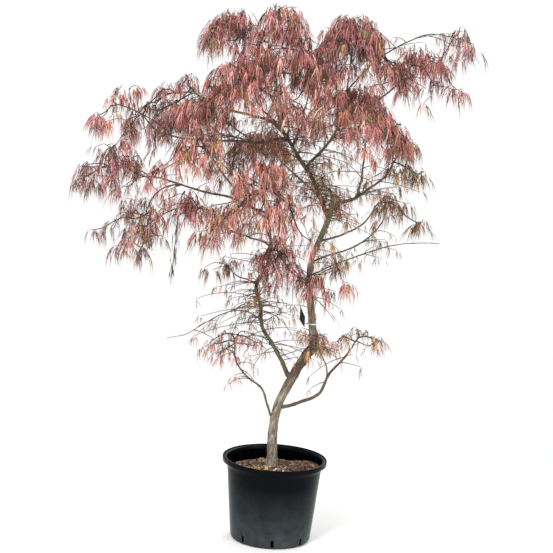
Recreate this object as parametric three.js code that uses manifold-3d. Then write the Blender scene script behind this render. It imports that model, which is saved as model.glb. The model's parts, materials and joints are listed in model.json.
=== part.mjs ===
// A weeping laceleaf Japanese maple in its nursery container, as one solid for each sub-part.
// Units are millimetres, +Z is up, and the side that faces the viewer is -Y.
// The origin is the centre of the pot's flat underside.

import * as THREE from 'three';
import { mergeVertices } from 'three/addons/utils/BufferGeometryUtils.js';
import Module from 'manifold-3d';

const wasm = await Module();
wasm.setup();

// ---------------------------------------------------------------- driving dimensions

const GAP = 0.3; // clearance between solids that touch

const POT = {
  height: 270,
  rimDiameter: 340,
  topDiameter: 310, // of the wall, just under the rim
  baseDiameter: 262,
  wall: 3,
  rimDepth: 15,
  rimRound: 5,
  cornerRadius: 12,
  sides: 36,
  slots: 8,
  slotWidth: 8,
  slotBottom: 6,
  slotTop: 30,
  firstSlot: -86, // degrees, counter-clockwise from +X
};

const SOIL = {
  edgeHeight: 222, // where it meets the pot's wall
  moundHeight: 243, // the level patch round the foot of the trunk
  moundRadius: 62,
  roughness: 3,
};

const LABEL = {
  width: 16,
  height: 61,
  thickness: 1,
  topSlant: 26, // its two ends are cut at a slant, so that it is a leaning four-sided tag
  footSlant: 18,
  at: [60, -6, 709], // middle of its foot
  turn: -35, // degrees about its own height
  bandHeight: 5,
  bandRadius: 14.5, // outside, round the trunk
  bandSides: 10,
  bandAt: [93, 4, 718],
  strapLength: 30,
  strapAt: [71, -6, 718], // middle of the strip that joins the band to the tag
};

// Trunk and boughs. Each limb is one tapering, round piece that follows its way-points.
// girth is the diameter at equal shares of the way, so two numbers are a straight taper.
// Every bough starts on the middle line of the limb that bears it; the dead shoot hangs free.
const TRUNK_SIDES = 10;
const BOUGH_SIDES = 6;
const TRUNK_STEP = 45; // length of one straight stretch
const BOUGH_STEP = 70;
const FEWEST_STEPS = 3;

const TRUNK = {
  name: 'trunk',
  way: [
    [-9, 0, 230], [-9, 0, 262], [-12, 0, 350], [-3, 2, 433], [18, 5, 488],
    [60, 9, 575], [88, 10, 624], [105, 8, 665], [95, 5, 700], [82, 2, 795],
    [74, 0, 850], [78, -5, 936], [95, -8, 980], [122, -12, 1060], [137, -14, 1135],
  ],
  girth: [50, 38, 31, 28, 30, 30, 31, 33, 25, 22, 19.5, 16.5, 18, 18, 17],
};

const BOUGHS = [
  // the old second stem, low on the left
  { name: 'second_stem', girth: [14, 7], way: [
    [35, 8, 526], [5, -5, 586], [-22, -15, 636], [-60, -25, 677], [-68, -38, 740],
    [-92, -45, 853], [-46, -35, 928], [-64, -35, 977], [-62, -65, 1036], [-80, -140, 1100],
    [-84, -205, 1160]] },
  // the leader, which turns over to the left and carries the top
  { name: 'leader', girth: [15, 5], way: [
    [118, -12, 1070], [62, -8, 1185], [30, -5, 1225], [-20, 0, 1300], [-60, 5, 1345],
    [-160, 8, 1372], [-275, 30, 1395], [-328, 50, 1428]] },
  { name: 'bough_top', girth: [8, 4], way: [
    [-40, 3, 1325], [-70, 15, 1400], [-105, 25, 1475], [-135, 38, 1550], [-180, 50, 1625]] },
  { name: 'bough_arch_right', girth: [10, 5], way: [
    [40, -6, 1212], [100, 5, 1290], [130, 20, 1345], [150, 45, 1430], [165, 85, 1612]] },
  { name: 'bough_far_right', girth: [7, 3.5], way: [
    [127, 18, 1338], [200, 10, 1400], [285, -5, 1470], [345, -22, 1550]] },
  { name: 'bough_right_tip', girth: [5, 2.5], way: [
    [152, 47, 1450], [215, 55, 1540], [310, 50, 1615], [400, 40, 1655], [475, 32, 1652]] },
  { name: 'bough_front_top', girth: [6, 4], way: [
    [-5, -1, 1280], [20, -70, 1350], [50, -140, 1405], [68, -180, 1468]] },
  { name: 'bough_front_upper', girth: [7, 4], way: [
    [-60, 5, 1345], [-85, -80, 1375], [-115, -150, 1400], [-135, -205, 1458]] },
  { name: 'bough_left_level', girth: [8, 4], way: [
    [-25, 1, 1303], [-95, -5, 1288], [-215, -15, 1285], [-330, -45, 1285], [-430, -90, 1308],
    [-474, -115, 1355]] },
  { name: 'bough_back_left', girth: [6, 4], way: [
    [-130, -8, 1287], [-185, 100, 1292], [-255, 210, 1300], [-305, 280, 1341]] },
  { name: 'bough_back_upper', girth: [7, 4], way: [
    [-20, 0, 1300], [-30, 110, 1365], [-60, 205, 1425], [-78, 268, 1498]] },
  { name: 'bough_back_right', girth: [6, 4], way: [
    [100, 5, 1290], [130, 110, 1318], [165, 220, 1350], [192, 300, 1406]] },
  { name: 'bough_back_middle', girth: [8, 4], way: [
    [122, -12, 1060], [95, 100, 1110], [30, 215, 1160], [-40, 300, 1208], [-78, 345, 1253]] },
  { name: 'bough_right_upper', girth: [12, 5], way: [
    [135, -14, 1108], [190, -10, 1122], [222, 0, 1147], [285, 40, 1190], [320, 72, 1246]] },
  { name: 'bough_right_front', girth: [7, 4], way: [
    [200, -7, 1127], [212, -80, 1185], [212, -175, 1270], [216, -225, 1362]] },
  { name: 'bough_right_lower', girth: [7, 4], way: [
    [97, -8, 985], [159, -20, 1008], [215, -32, 1040], [255, -28, 1075], [272, -22, 1117]] },
  { name: 'bough_right_rear', girth: [6, 3.5], way: [
    [76, -4, 915], [150, 15, 948], [215, 35, 972], [285, 42, 1035], [314, 36, 1117]] },
  { name: 'whip_right', girth: [5, 2], way: [
    [74, 0, 872], [145, -20, 914], [280, -45, 974], [355, -55, 998], [472, -60, 1008]] },
  { name: 'bough_centre_low', girth: [6, 4], way: [
    [75, 0, 838], [45, -40, 872], [10, -90, 915], [-15, -125, 963]] },
  // borne by the second stem
  { name: 'bough_left_front', girth: [6, 4], way: [
    [-62, -62, 1036], [-140, -140, 1115], [-212, -220, 1195], [-256, -262, 1262]] },
  { name: 'bough_left_lower', girth: [6, 3.5], way: [
    [-60, -36, 964], [-130, -75, 993], [-205, -115, 1026], [-250, -132, 1073]] },
  { name: 'bough_left_far', girth: [8, 4], way: [
    [-65, -72, 1055], [-170, -60, 1105], [-290, -20, 1124], [-420, 40, 1150], [-500, 76, 1155],
    [-542, 88, 1178]] },
  { name: 'bough_left_hanging', girth: [5, 3.5], way: [
    [-355, 10, 1137], [-415, 15, 1118], [-445, 20, 1085], [-462, 26, 1034]] },
  { name: 'bough_left_twig', girth: [5, 3], way: [
    [-91, -45, 850], [-130, -10, 852], [-165, 30, 856], [-188, 55, 875]] },
  { name: 'whip_left', girth: [4, 1.5], way: [
    [-68, -35, 722], [-126, -32, 750], [-205, -30, 732], [-300, -30, 668], [-370, -30, 645]] },
  // low on the trunk
  { name: 'bough_foot_left', girth: [7, 4], way: [
    [-12, 0, 383], [-40, -10, 458], [-75, -20, 523], [-108, -25, 538], [-140, -35, 580],
    [-152, -42, 650]] },
  { name: 'bough_foot_right', girth: [12, 5], way: [
    [10, 3, 436], [67, -5, 459], [132, -10, 496], [158, -5, 560], [205, 15, 610], [236, 25, 663]] },
  { name: 'bough_foot_middle', girth: [5, 3], way: [
    [148, -8, 524], [145, -25, 585], [125, -55, 630], [108, -76, 690]] },
  // a withered shoot that hangs under the left side
  { name: 'dead_shoot', girth: [3.5, 1.5], way: [
    [-345, -138, 1050], [-350, -140, 939], [-357, -142, 838]] },
];

// Masses of foliage. Each is an umbrella that weeps outwards: at is the middle of its
// underside, wide and deep are its half sizes, rise is how far its top stands above that and
// hang is how far its ragged rim falls below it.
const LUMP = 0.16; // how uneven the outline is, as a share of its size
const RAGGED = 0.3; // how uneven the hanging rim is
const RIM_TURN = 3.5; // power by which the fall grows towards the rim
const UNDERSIDE = 0.15; // how far the underside bulges, as a share of hang
const WEEP = 0.14; // fall on the side away from the trunk, as a share of the width
const FINE = 2; // how often a large mass's starting ball is divided
const COARSE = 1;
const FACET_TURN = -2; // radians from one mass's starting ball to the next, so that facets differ

const MASSES = [
  { name: 'leaves_top_left', at: [-222, 60, 1615], wide: 108, deep: 112, rise: 90, hang: 70 },
  { name: 'leaves_top_middle', at: [-58, -70, 1620], wide: 88, deep: 112, rise: 104, hang: 75 },
  { name: 'leaves_top_right', at: [168, 90, 1600], wide: 122, deep: 125, rise: 110, hang: 85 },
  { name: 'leaves_right_high', at: [385, -30, 1540], wide: 98, deep: 118, rise: 88, hang: 100 },
  { name: 'leaves_right_tip', at: [502, 30, 1643], wide: 58, deep: 70, rise: 60, hang: 70, small: true },
  { name: 'leaves_front_top', at: [72, -188, 1462], wide: 78, deep: 98, rise: 102, hang: 90 },
  { name: 'leaves_front_upper', at: [-150, -230, 1450], wide: 148, deep: 118, rise: 92, hang: 80 },
  { name: 'leaves_left_high', at: [-378, 70, 1418], wide: 100, deep: 112, rise: 85, hang: 75 },
  { name: 'leaves_left_far', at: [-524, -130, 1347], wide: 115, deep: 108, rise: 92, hang: 85 },
  { name: 'leaves_left_front', at: [-278, -280, 1255], wide: 108, deep: 105, rise: 82, hang: 78 },
  { name: 'leaves_left_middle', at: [-588, 100, 1170], wide: 114, deep: 150, rise: 88, hang: 75 },
  { name: 'leaves_left_hanging', at: [-500, 30, 1019], wide: 106, deep: 105, rise: 78, hang: 120 },
  { name: 'leaves_left_lower', at: [-322, -142, 1065], wide: 138, deep: 108, rise: 70, hang: 88 },
  { name: 'leaves_middle', at: [-86, -235, 1150], wide: 110, deep: 105, rise: 104, hang: 125 },
  { name: 'leaves_right_front', at: [235, -256, 1351], wide: 110, deep: 110, rise: 78, hang: 88 },
  { name: 'leaves_right_middle', at: [360, 95, 1238], wide: 92, deep: 118, rise: 88, hang: 78 },
  { name: 'leaves_right_lower', at: [305, -10, 1108], wide: 126, deep: 128, rise: 55, hang: 78 },
  { name: 'leaves_centre_low', at: [-25, -140, 955], wide: 68, deep: 68, rise: 72, hang: 112, small: true },
  { name: 'leaves_trunk_right', at: [178, -35, 922], wide: 78, deep: 68, rise: 45, hang: 82, small: true },
  { name: 'leaves_left_twig', at: [-212, 70, 868], wide: 82, deep: 70, rise: 40, hang: 52, small: true },
  { name: 'leaves_foot_left', at: [-150, -45, 640], wide: 132, deep: 95, rise: 56, hang: 72, small: true },
  { name: 'leaves_foot_right', at: [258, 35, 655], wide: 100, deep: 88, rise: 58, hang: 55, small: true },
  { name: 'leaves_foot_middle', at: [100, -85, 680], wide: 62, deep: 50, rise: 45, hang: 62, small: true },
  { name: 'leaves_back_upper', at: [-85, 301, 1491], wide: 152, deep: 130, rise: 92, hang: 78 },
  { name: 'leaves_back_right', at: [208, 335, 1398], wide: 134, deep: 125, rise: 85, hang: 80 },
  { name: 'leaves_back_left', at: [-340, 320, 1333], wide: 142, deep: 130, rise: 84, hang: 82 },
  { name: 'leaves_back_middle', at: [-112, 385, 1245], wide: 132, deep: 115, rise: 75, hang: 78 },
];

const FINISH = {
  pot: { color: '#1b1d22', roughness: 0.45 },
  soil: { color: '#6f5138', roughness: 0.95 },
  bark: { color: '#7d7261', roughness: 0.85 },
  dead: { color: '#8f7c62', roughness: 0.85 },
  label: { color: '#14343c', roughness: 0.4 },
  leaves: ['#b4544e', '#a04a44', '#8c5048', '#b96a60', '#7a4a3e', '#96593f'],
  leafRoughness: 0.8,
};

// ---------------------------------------------------------------- helpers

const radians = THREE.MathUtils.degToRad;

// Keeps a geometry's positions only and merges the vertices that coincide.
function weld(geometry) {
  geometry.deleteAttribute('normal');
  geometry.deleteAttribute('uv');
  return mergeVertices(geometry);
}

function solidOf(geometry) {
  const welded = weld(geometry);
  return new wasm.Manifold(new wasm.Mesh({
    numProp: 3,
    vertProperties: new Float32Array(welded.attributes.position.array),
    triVerts: new Uint32Array(welded.index.array),
  }));
}

function geometryOf(solid) {
  const { vertProperties, triVerts } = solid.getMesh();
  const geometry = new THREE.BufferGeometry();
  geometry.setAttribute('position', new THREE.BufferAttribute(vertProperties, 3));
  geometry.setIndex(new THREE.BufferAttribute(triVerts, 1));
  geometry.computeVertexNormals();
  return geometry;
}

function largestBody(solid) {
  const bodies = solid.decompose();
  return bodies.reduce((best, body) => (body.volume() > best.volume() ? body : best));
}

function boxesMeet(a, b) {
  const boxA = a.boundingBox();
  const boxB = b.boundingBox();
  return [0, 1, 2].every((axis) => boxA.min[axis] < boxB.max[axis] && boxB.min[axis] < boxA.max[axis]);
}

// Cuts the solid round every other solid whose box meets its own.
function cutRound(solid, others) {
  const left = others.reduce((rest, other) => (boxesMeet(rest, other) ? rest.subtract(other) : rest), solid);
  return largestBody(left);
}

function meshOf(name, solid, finish) {
  const mesh = new THREE.Mesh(geometryOf(solid), new THREE.MeshStandardMaterial(finish));
  mesh.name = name;
  return mesh;
}

// ---------------------------------------------------------------- pot

const potSlope = (POT.topDiameter - POT.baseDiameter) / 2 / (POT.height - POT.rimDepth);
const potRadiusAt = (z) => POT.baseDiameter / 2 + potSlope * z;

// A closed profile: underside, rounded corner, wall, rolled rim, and back down the inside.
function potProfile() {
  const corner = POT.cornerRadius;
  const rim = POT.rimDiameter / 2;
  const rimFoot = POT.height - POT.rimDepth;
  const round = POT.rimRound;
  const outline = new THREE.Path();
  outline.moveTo(0, 0);
  outline.lineTo(POT.baseDiameter / 2 - corner, 0);
  outline.quadraticCurveTo(POT.baseDiameter / 2, 0, potRadiusAt(corner), corner);
  outline.lineTo(potRadiusAt(rimFoot), rimFoot);
  outline.lineTo(rim - round, rimFoot);
  outline.quadraticCurveTo(rim, rimFoot, rim, rimFoot + round);
  outline.lineTo(rim, POT.height - round);
  outline.quadraticCurveTo(rim, POT.height, rim - round, POT.height);
  outline.lineTo(potRadiusAt(POT.height), POT.height);
  outline.lineTo(potRadiusAt(rimFoot) - POT.wall, rimFoot);
  outline.lineTo(potRadiusAt(corner) - POT.wall, corner);
  outline.lineTo(POT.baseDiameter / 2 - corner, POT.wall);
  outline.lineTo(0, POT.wall);
  return outline.getPoints(2);
}

// Lathe geometry turns about Y, so it is stood up on Z.
function turned(points, sides) {
  return new THREE.LatheGeometry(points, sides).rotateX(Math.PI / 2);
}

function potSolid() {
  const shell = solidOf(turned(potProfile(), POT.sides));
  const slotHeight = POT.slotTop - POT.slotBottom;
  const reach = 3 * POT.cornerRadius;
  const slots = Array.from({ length: POT.slots }, (_, index) => {
    const slot = new THREE.BoxGeometry(reach, POT.slotWidth, slotHeight);
    slot.translate(POT.baseDiameter / 2, 0, POT.slotBottom + slotHeight / 2);
    slot.rotateZ(radians(POT.firstSlot + (360 / POT.slots) * index));
    return solidOf(slot);
  });
  return slots.reduce((rest, slot) => rest.subtract(slot), shell);
}

// ---------------------------------------------------------------- soil

// Fills the pot and mounds up to a level patch round the trunk. Outside that patch and
// inside the wall the surface is rough.
function soilSolid() {
  const inner = (z) => potRadiusAt(z) - POT.wall - GAP;
  const floor = POT.wall + GAP;
  const edge = inner(SOIL.edgeHeight);
  const profile = [
    [0, floor],
    [POT.baseDiameter / 2 - POT.cornerRadius - GAP, floor],
    [inner(POT.cornerRadius), POT.cornerRadius],
    [edge, SOIL.edgeHeight],
    [(SOIL.moundRadius + edge) / 2, (SOIL.moundHeight + SOIL.edgeHeight) / 2 + SOIL.roughness],
    [SOIL.moundRadius, SOIL.moundHeight],
    [0, SOIL.moundHeight],
  ];
  const geometry = turned(profile.map(([r, z]) => new THREE.Vector2(r, z)), POT.sides);
  const position = geometry.attributes.position;
  for (let i = 0; i < position.count; i++) {
    const radius = Math.hypot(position.getX(i), position.getY(i));
    const angle = Math.atan2(position.getY(i), position.getX(i));
    const onSlope = radius > SOIL.moundRadius + 1 && radius < edge - 1 && position.getZ(i) > SOIL.edgeHeight;
    if (onSlope) {
      const bump = Math.sin(5 * angle + radius) * Math.cos(3 * angle - radius);
      position.setZ(i, position.getZ(i) + SOIL.roughness * bump);
    }
  }
  return solidOf(geometry);
}

// ---------------------------------------------------------------- limbs

// Bends an upright cylinder of unit radius along the limb's way and gives each ring its girth.
// grow makes the whole limb that much larger, for cutting a clear hole round it.
function limbSolid(limb, sides, stepLength, grow = 0) {
  const points = limb.way.map((place) => new THREE.Vector3(...place));
  const path = new THREE.CatmullRomCurve3(points, false, 'centripetal');
  const steps = Math.max(FEWEST_STEPS, Math.round(path.getLength() / stepLength));
  const frames = path.computeFrenetFrames(steps, false);
  const tube = new THREE.CylinderGeometry(1, 1, 1, sides, steps);
  const position = tube.attributes.position;
  for (let i = 0; i < position.count; i++) {
    const step = Math.round((position.getY(i) + 0.5) * steps);
    const radius = girthAt(limb.girth, path.getUtoTmapping(step / steps)) / 2 + grow;
    const place = path.getPointAt(step / steps);
    place.addScaledVector(frames.binormals[step], position.getX(i) * radius);
    place.addScaledVector(frames.normals[step], position.getZ(i) * radius);
    if (step === 0) place.addScaledVector(frames.tangents[step], -grow);
    if (step === steps) place.addScaledVector(frames.tangents[step], grow);
    position.setXYZ(i, place.x, place.y, place.z);
  }
  return solidOf(tube);
}

function girthAt(girth, share) {
  const place = share * (girth.length - 1);
  const index = Math.min(Math.floor(place), girth.length - 2);
  return THREE.MathUtils.lerp(girth[index], girth[index + 1], place - index);
}

// The trunk is cut off level where it meets the soil.
function trunkSolid(grow = 0) {
  const level = SOIL.moundHeight + GAP - grow;
  const size = 4 * TRUNK.girth[0];
  const below = new THREE.BoxGeometry(size, size, size);
  below.translate(TRUNK.way[0][0], TRUNK.way[0][1], level - size / 2);
  return limbSolid(TRUNK, TRUNK_SIDES, TRUNK_STEP, grow).subtract(solidOf(below));
}

// ---------------------------------------------------------------- label

// A blank tag with slanting ends, on a band that goes round the trunk.
function labelSolid() {
  const half = LABEL.width / 2;
  const outline = new THREE.Shape();
  outline.moveTo(half, 0);
  outline.lineTo(half, LABEL.height - LABEL.topSlant);
  outline.lineTo(-half, LABEL.height);
  outline.lineTo(-half, LABEL.footSlant);
  const tag = new THREE.ExtrudeGeometry(outline, { depth: LABEL.thickness, bevelEnabled: false });
  tag.rotateX(Math.PI / 2);
  tag.rotateZ(radians(LABEL.turn));
  tag.translate(...LABEL.at);
  const { bandRadius, bandHeight, bandSides } = LABEL;
  const band = new THREE.CylinderGeometry(bandRadius, bandRadius, bandHeight, bandSides);
  band.rotateX(Math.PI / 2);
  band.translate(...LABEL.bandAt);
  const strap = new THREE.BoxGeometry(LABEL.strapLength, LABEL.thickness, bandHeight);
  strap.translate(...LABEL.strapAt);
  return solidOf(tag).add(solidOf(band)).add(solidOf(strap));
}

// ---------------------------------------------------------------- foliage

// A smooth value between -1 and 1 for each direction, different for every seed.
function wave(direction, seed) {
  const { x, y, z } = direction;
  const first = Math.sin(3.1 * x + 2.3 * y + 1.7 * seed);
  const second = Math.sin(4.3 * y - 2.9 * z + 2.9 * seed);
  const third = Math.sin(5.2 * z + 3.7 * x + 4.1 * seed);
  const fourth = Math.sin(7.3 * x - 6.1 * y + 5.7 * z + 2.3 * seed);
  return (first + second + third + fourth) / 4;
}

// Turns a divided icosahedron into an umbrella. Its upper half is a dome, its lower half is
// nearly flat, and both fall by hang towards the rim and by WEEP away from the pot's axis.
function massSolid(mass, seed) {
  const ball = new THREE.IcosahedronGeometry(1, mass.small ? COARSE : FINE);
  ball.rotateZ(FACET_TURN * seed);
  const position = ball.attributes.position;
  const centre = new THREE.Vector3(...mass.at);
  const outward = new THREE.Vector2(centre.x, centre.y).normalize();
  for (let i = 0; i < position.count; i++) {
    const direction = new THREE.Vector3().fromBufferAttribute(position, i);
    const rim = Math.hypot(direction.x, direction.y) ** RIM_TURN;
    const lump = 1 + LUMP * wave(direction, seed);
    const ragged = 1 + RAGGED * wave(direction, seed + 0.5);
    const shell = direction.z > 0 ? mass.rise * lump : UNDERSIDE * mass.hang;
    const reach = outward.x * direction.x + outward.y * direction.y;
    position.setXYZ(
      i,
      centre.x + mass.wide * direction.x * lump,
      centre.y + mass.deep * direction.y * lump,
      centre.z + shell * direction.z - mass.hang * ragged * rim - WEEP * mass.wide * reach,
    );
  }
  return solidOf(ball);
}

// ---------------------------------------------------------------- assembly

const plant = new THREE.Group();
plant.add(meshOf('pot', potSolid(), FINISH.pot));
plant.add(meshOf('soil', soilSolid(), FINISH.soil));

// clear holds every limb made so far, grown by the gap that its neighbours keep
const clear = [trunkSolid(GAP)];
plant.add(meshOf('trunk', trunkSolid(), FINISH.bark));

for (const bough of BOUGHS) {
  const solid = cutRound(limbSolid(bough, BOUGH_SIDES, BOUGH_STEP), clear);
  plant.add(meshOf(bough.name, solid, bough.name === 'dead_shoot' ? FINISH.dead : FINISH.bark));
  clear.push(limbSolid(bough, BOUGH_SIDES, BOUGH_STEP, GAP));
}

plant.add(meshOf('plant_label', cutRound(labelSolid(), clear), FINISH.label));
clear.push(labelSolid());

MASSES.forEach((mass, seed) => {
  const solid = cutRound(massSolid(mass, seed), clear);
  const color = FINISH.leaves[seed % FINISH.leaves.length];
  plant.add(meshOf(mass.name, solid, { color, roughness: FINISH.leafRoughness }));
});

export default plant;
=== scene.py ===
"""A weeping laceleaf maple in autumn leaf, growing in its nursery container.

Every piece is built round the packed solids. Wood follows the rings of the limb solids, twigs
and leaves grow from the limbs' tips into the masses of foliage, and the container and its
potting mix take their sizes from their own solids. Lengths are metres and +Z is up.
"""

import functools
import json
import math

import bpy
import numpy as np
from bpy.props import FloatProperty, FloatVectorProperty, IntProperty, PointerProperty
from bpy.types import Operator, Panel, PropertyGroup
from mathutils import Matrix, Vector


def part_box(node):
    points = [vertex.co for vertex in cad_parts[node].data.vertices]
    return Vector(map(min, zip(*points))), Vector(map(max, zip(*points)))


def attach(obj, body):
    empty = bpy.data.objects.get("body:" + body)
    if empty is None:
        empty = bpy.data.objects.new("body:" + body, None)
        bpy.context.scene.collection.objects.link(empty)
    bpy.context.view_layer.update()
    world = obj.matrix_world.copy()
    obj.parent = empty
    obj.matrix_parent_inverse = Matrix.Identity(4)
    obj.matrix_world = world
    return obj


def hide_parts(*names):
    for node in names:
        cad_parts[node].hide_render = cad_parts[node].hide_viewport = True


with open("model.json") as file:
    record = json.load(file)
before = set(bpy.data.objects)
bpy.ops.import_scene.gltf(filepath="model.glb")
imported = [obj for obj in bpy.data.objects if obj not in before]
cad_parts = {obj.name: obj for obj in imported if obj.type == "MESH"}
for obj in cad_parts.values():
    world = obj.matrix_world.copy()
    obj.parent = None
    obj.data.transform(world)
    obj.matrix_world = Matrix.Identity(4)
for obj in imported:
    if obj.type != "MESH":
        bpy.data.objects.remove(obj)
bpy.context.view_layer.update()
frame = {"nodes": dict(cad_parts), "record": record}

bl_info = {
    "name": "Potted Laceleaf Maple",
    "version": (1, 0, 0),
    "blender": (4, 5, 0),
    "location": "View3D > Sidebar > Maple",
    "description": "Builds a weeping laceleaf maple in its container round a packed frame",
    "category": "Add Mesh",
}

UP = np.array([0.0, 0.0, 1.0])
LEVEL = np.array([1, 1, 0])  # takes the height out of a vector
TURN = 2 * math.pi
BODY = "root"
HASH_WAVES = np.array([12.9898, 78.233, 37.719])
HASH_HEIGHT = 43758.5453


# ------------------------------------------------------------------ small helpers


def linear(hex_colour):
    """sRGB hex to linear: c / 12.92 up to 0.04045, and ((c + 0.055) / 1.055) ^ 2.4 above it."""
    channels = [int(hex_colour[i : i + 2], 16) / 255 for i in (1, 3, 5)]
    return tuple(c / 12.92 if c <= 0.04045 else ((c + 0.055) / 1.055) ** 2.4 for c in channels)


def length(name, description, default):
    return FloatProperty(name=name, description=description, default=default, subtype="DISTANCE")


def share(name, description, default):
    return FloatProperty(name=name, description=description, default=default, subtype="FACTOR")


def angle(name, description, degrees):
    return FloatProperty(
        name=name, description=description, default=math.radians(degrees), subtype="ANGLE"
    )


def colour(name, description, hex_colour):
    return FloatVectorProperty(
        name=name, description=description, default=linear(hex_colour), subtype="COLOR"
    )


def count(name, description, default):
    return IntProperty(name=name, description=description, default=default, min=0)


def unit(vectors):
    """Each vector over its own length."""
    return vectors / np.maximum(np.linalg.norm(vectors, axis=-1, keepdims=True), 1e-9)


def between(low, high, where):
    return low + (high - low) * where


def smooth_step(low, high, value):
    """0 below low, 1 above high, and 3t^2 - 2t^3 between them."""
    t = np.clip((value - low) / (high - low), 0, 1)
    return t * t * (3 - 2 * t)


def lattice_value(cells, seed):
    """A value from 0 to 1 for each whole-numbered cell: the fraction left of a large sine."""
    mixed = np.sin(cells @ HASH_WAVES + seed) * HASH_HEIGHT
    return mixed - np.floor(mixed)


def noise(places, size, seed):
    """Smooth bumps of about the given size, from -1 to 1: the values at the eight corners of
    a place's cell, mixed by a smooth step of the place within the cell."""
    scaled = places / size
    cell = np.floor(scaled)
    part = scaled - cell
    part = part * part * (3 - 2 * part)
    total = 0
    for corner in np.ndindex(2, 2, 2):
        weight = np.prod(np.where(corner, part, 1 - part), axis=-1)
        total = total + weight * lattice_value(cell + corner, seed)
    return 2 * total - 1


def noises(places, seed, parts):
    """A sum of noises. Each part gives its height, its size and how far its seed is moved."""
    return sum(height * noise(places, size, seed + moved) for height, size, moved in parts)


def round_axis(radius, turns, height):
    """Places (radius cos(turn), radius sin(turn), height)."""
    x, y = radius * np.cos(turns), radius * np.sin(turns)
    return np.stack([x, y, np.broadcast_to(height, x.shape)], axis=-1)


def measured(points):
    """The gaps between points, and how far along their line each point is."""
    gaps = np.linalg.norm(np.diff(points, axis=0), axis=1)
    return gaps, np.concatenate([[0], np.cumsum(gaps)])


# ------------------------------------------------------------------ meshes


def new_piece(name, places, faces, materials, finish=None, smooth=True, grain=None):
    """Puts arrays of places and faces into a new object. faces is a list of arrays, one for
    each number of corners, finish is each face's material, and grain is each place's
    position along and round the limb that it belongs to."""
    mesh = bpy.data.meshes.new(name)
    corners = np.concatenate([part.ravel() for part in faces])
    sizes = np.concatenate([np.full(len(part), part.shape[1]) for part in faces])
    mesh.vertices.add(len(places))
    mesh.vertices.foreach_set("co", np.asarray(places, np.float32).ravel())
    mesh.loops.add(len(corners))
    mesh.loops.foreach_set("vertex_index", corners.astype(np.int32))
    mesh.polygons.add(len(sizes))
    mesh.polygons.foreach_set("loop_start", (np.cumsum(sizes) - sizes).astype(np.int32))
    mesh.polygons.foreach_set("use_smooth", np.full(len(sizes), smooth))
    for material in materials:
        mesh.materials.append(material)
    if finish is not None:
        mesh.polygons.foreach_set("material_index", np.asarray(finish, np.int32))
    if grain is not None:
        layer = mesh.attributes.new("grain", "FLOAT_VECTOR", "POINT")
        layer.data.foreach_set("vector", np.asarray(grain, np.float32).ravel())
    mesh.update(calc_edges=True)
    mesh.validate()
    piece = bpy.data.objects.new(name, mesh)
    bpy.context.scene.collection.objects.link(piece)
    return piece


def place_piece(piece, slot, *nodes):
    """Hangs a piece on the body and hides the solids that it replaces. The slot, the finish that it
    would take, is not used.
    """
    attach(piece, BODY)
    if nodes:
        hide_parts(*nodes)


def ring_faces(paths, stations, sides):
    """The quads between neighbouring rings, for tubes whose places are numbered path by path,
    ring by ring and then round the ring."""
    at = np.arange(paths * stations * sides).reshape(paths, stations, sides)
    turned = np.roll(at, -1, axis=2)
    corners = (at[:, :-1], turned[:, :-1], turned[:, 1:], at[:, 1:])
    return np.stack(corners, axis=-1).reshape(-1, 4)


def strip_faces(one, other):
    """The quads between two lines of places: on along the one and back along the other."""
    return np.stack([one[:-1], one[1:], other[1:], other[:-1]], axis=-1)


def sweep(paths, radii, sides, relief=0.0):
    """Round profiles carried along many paths at once. A place is its path's point plus
    (radius + relief) times (cos(turn) first side + sin(turn) second side), where both sides
    are square to the path, and each end closes on a middle point."""
    tangents = unit(np.gradient(paths, axis=1))
    steadiest = np.argmin(np.abs(tangents).max(axis=1), axis=1)
    first = unit(np.cross(np.eye(3)[steadiest][:, None], tangents))
    second = np.cross(tangents, first)
    turns = TURN * np.arange(sides) / sides
    cosine, sine = np.cos(turns)[:, None], np.sin(turns)[:, None]
    ring = first[:, :, None] * cosine + second[:, :, None] * sine
    size = radii[:, :, None] + relief
    places = paths[:, :, None] + size[..., None] * ring
    total, stations = paths.shape[:2]
    ends = np.concatenate([paths[:, 0], paths[:, -1]])
    skin = places.reshape(-1, 3)
    index = np.arange(len(skin)).reshape(total, stations, sides)
    foot = len(skin) + np.arange(total)[:, None].repeat(sides, 1)
    caps = [
        np.stack([foot, np.roll(index[:, 0], -1, 1), index[:, 0]], -1),
        np.stack([foot + total, index[:, -1], np.roll(index[:, -1], -1, 1)], -1),
    ]
    steps = np.linalg.norm(np.diff(paths, axis=1), axis=2)
    along = np.concatenate([np.zeros((total, 1)), np.cumsum(steps, axis=1)], axis=1)
    grain = round_axis(radii[:, :, None], turns, along[:, :, None]).reshape(-1, 3)
    lengths = np.concatenate([np.zeros(total), along[:, -1]])
    grain = np.concatenate([grain, np.pad(lengths[:, None], ((0, 0), (2, 0)))])
    faces = [ring_faces(total, stations, sides), np.concatenate(caps).reshape(-1, 3)]
    return np.concatenate([skin, ends]), faces, grain


def smooth_path(points, step):
    """A cubic through the points that at each one runs along the slope between its
    neighbours. Returns places a step apart and how far along the points' line each is."""
    gaps, at = measured(points)
    slope = np.gradient(points, at, axis=0)
    where = np.linspace(0, at[-1], max(3, round(at[-1] / step) + 1))
    i = np.clip(np.searchsorted(at, where, side="right") - 1, 0, len(gaps) - 1)
    gap = gaps[i][:, None]
    t = (where - at[i])[:, None] / gap
    start = (1 + 2 * t) * (1 - t) ** 2 * points[i] + t * (1 - t) ** 2 * gap * slope[i]
    end = t**2 * (3 - 2 * t) * points[i + 1] + t**2 * (t - 1) * gap * slope[i + 1]
    return start + end, where, at


# ------------------------------------------------------------------ limbs from the frame

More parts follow.
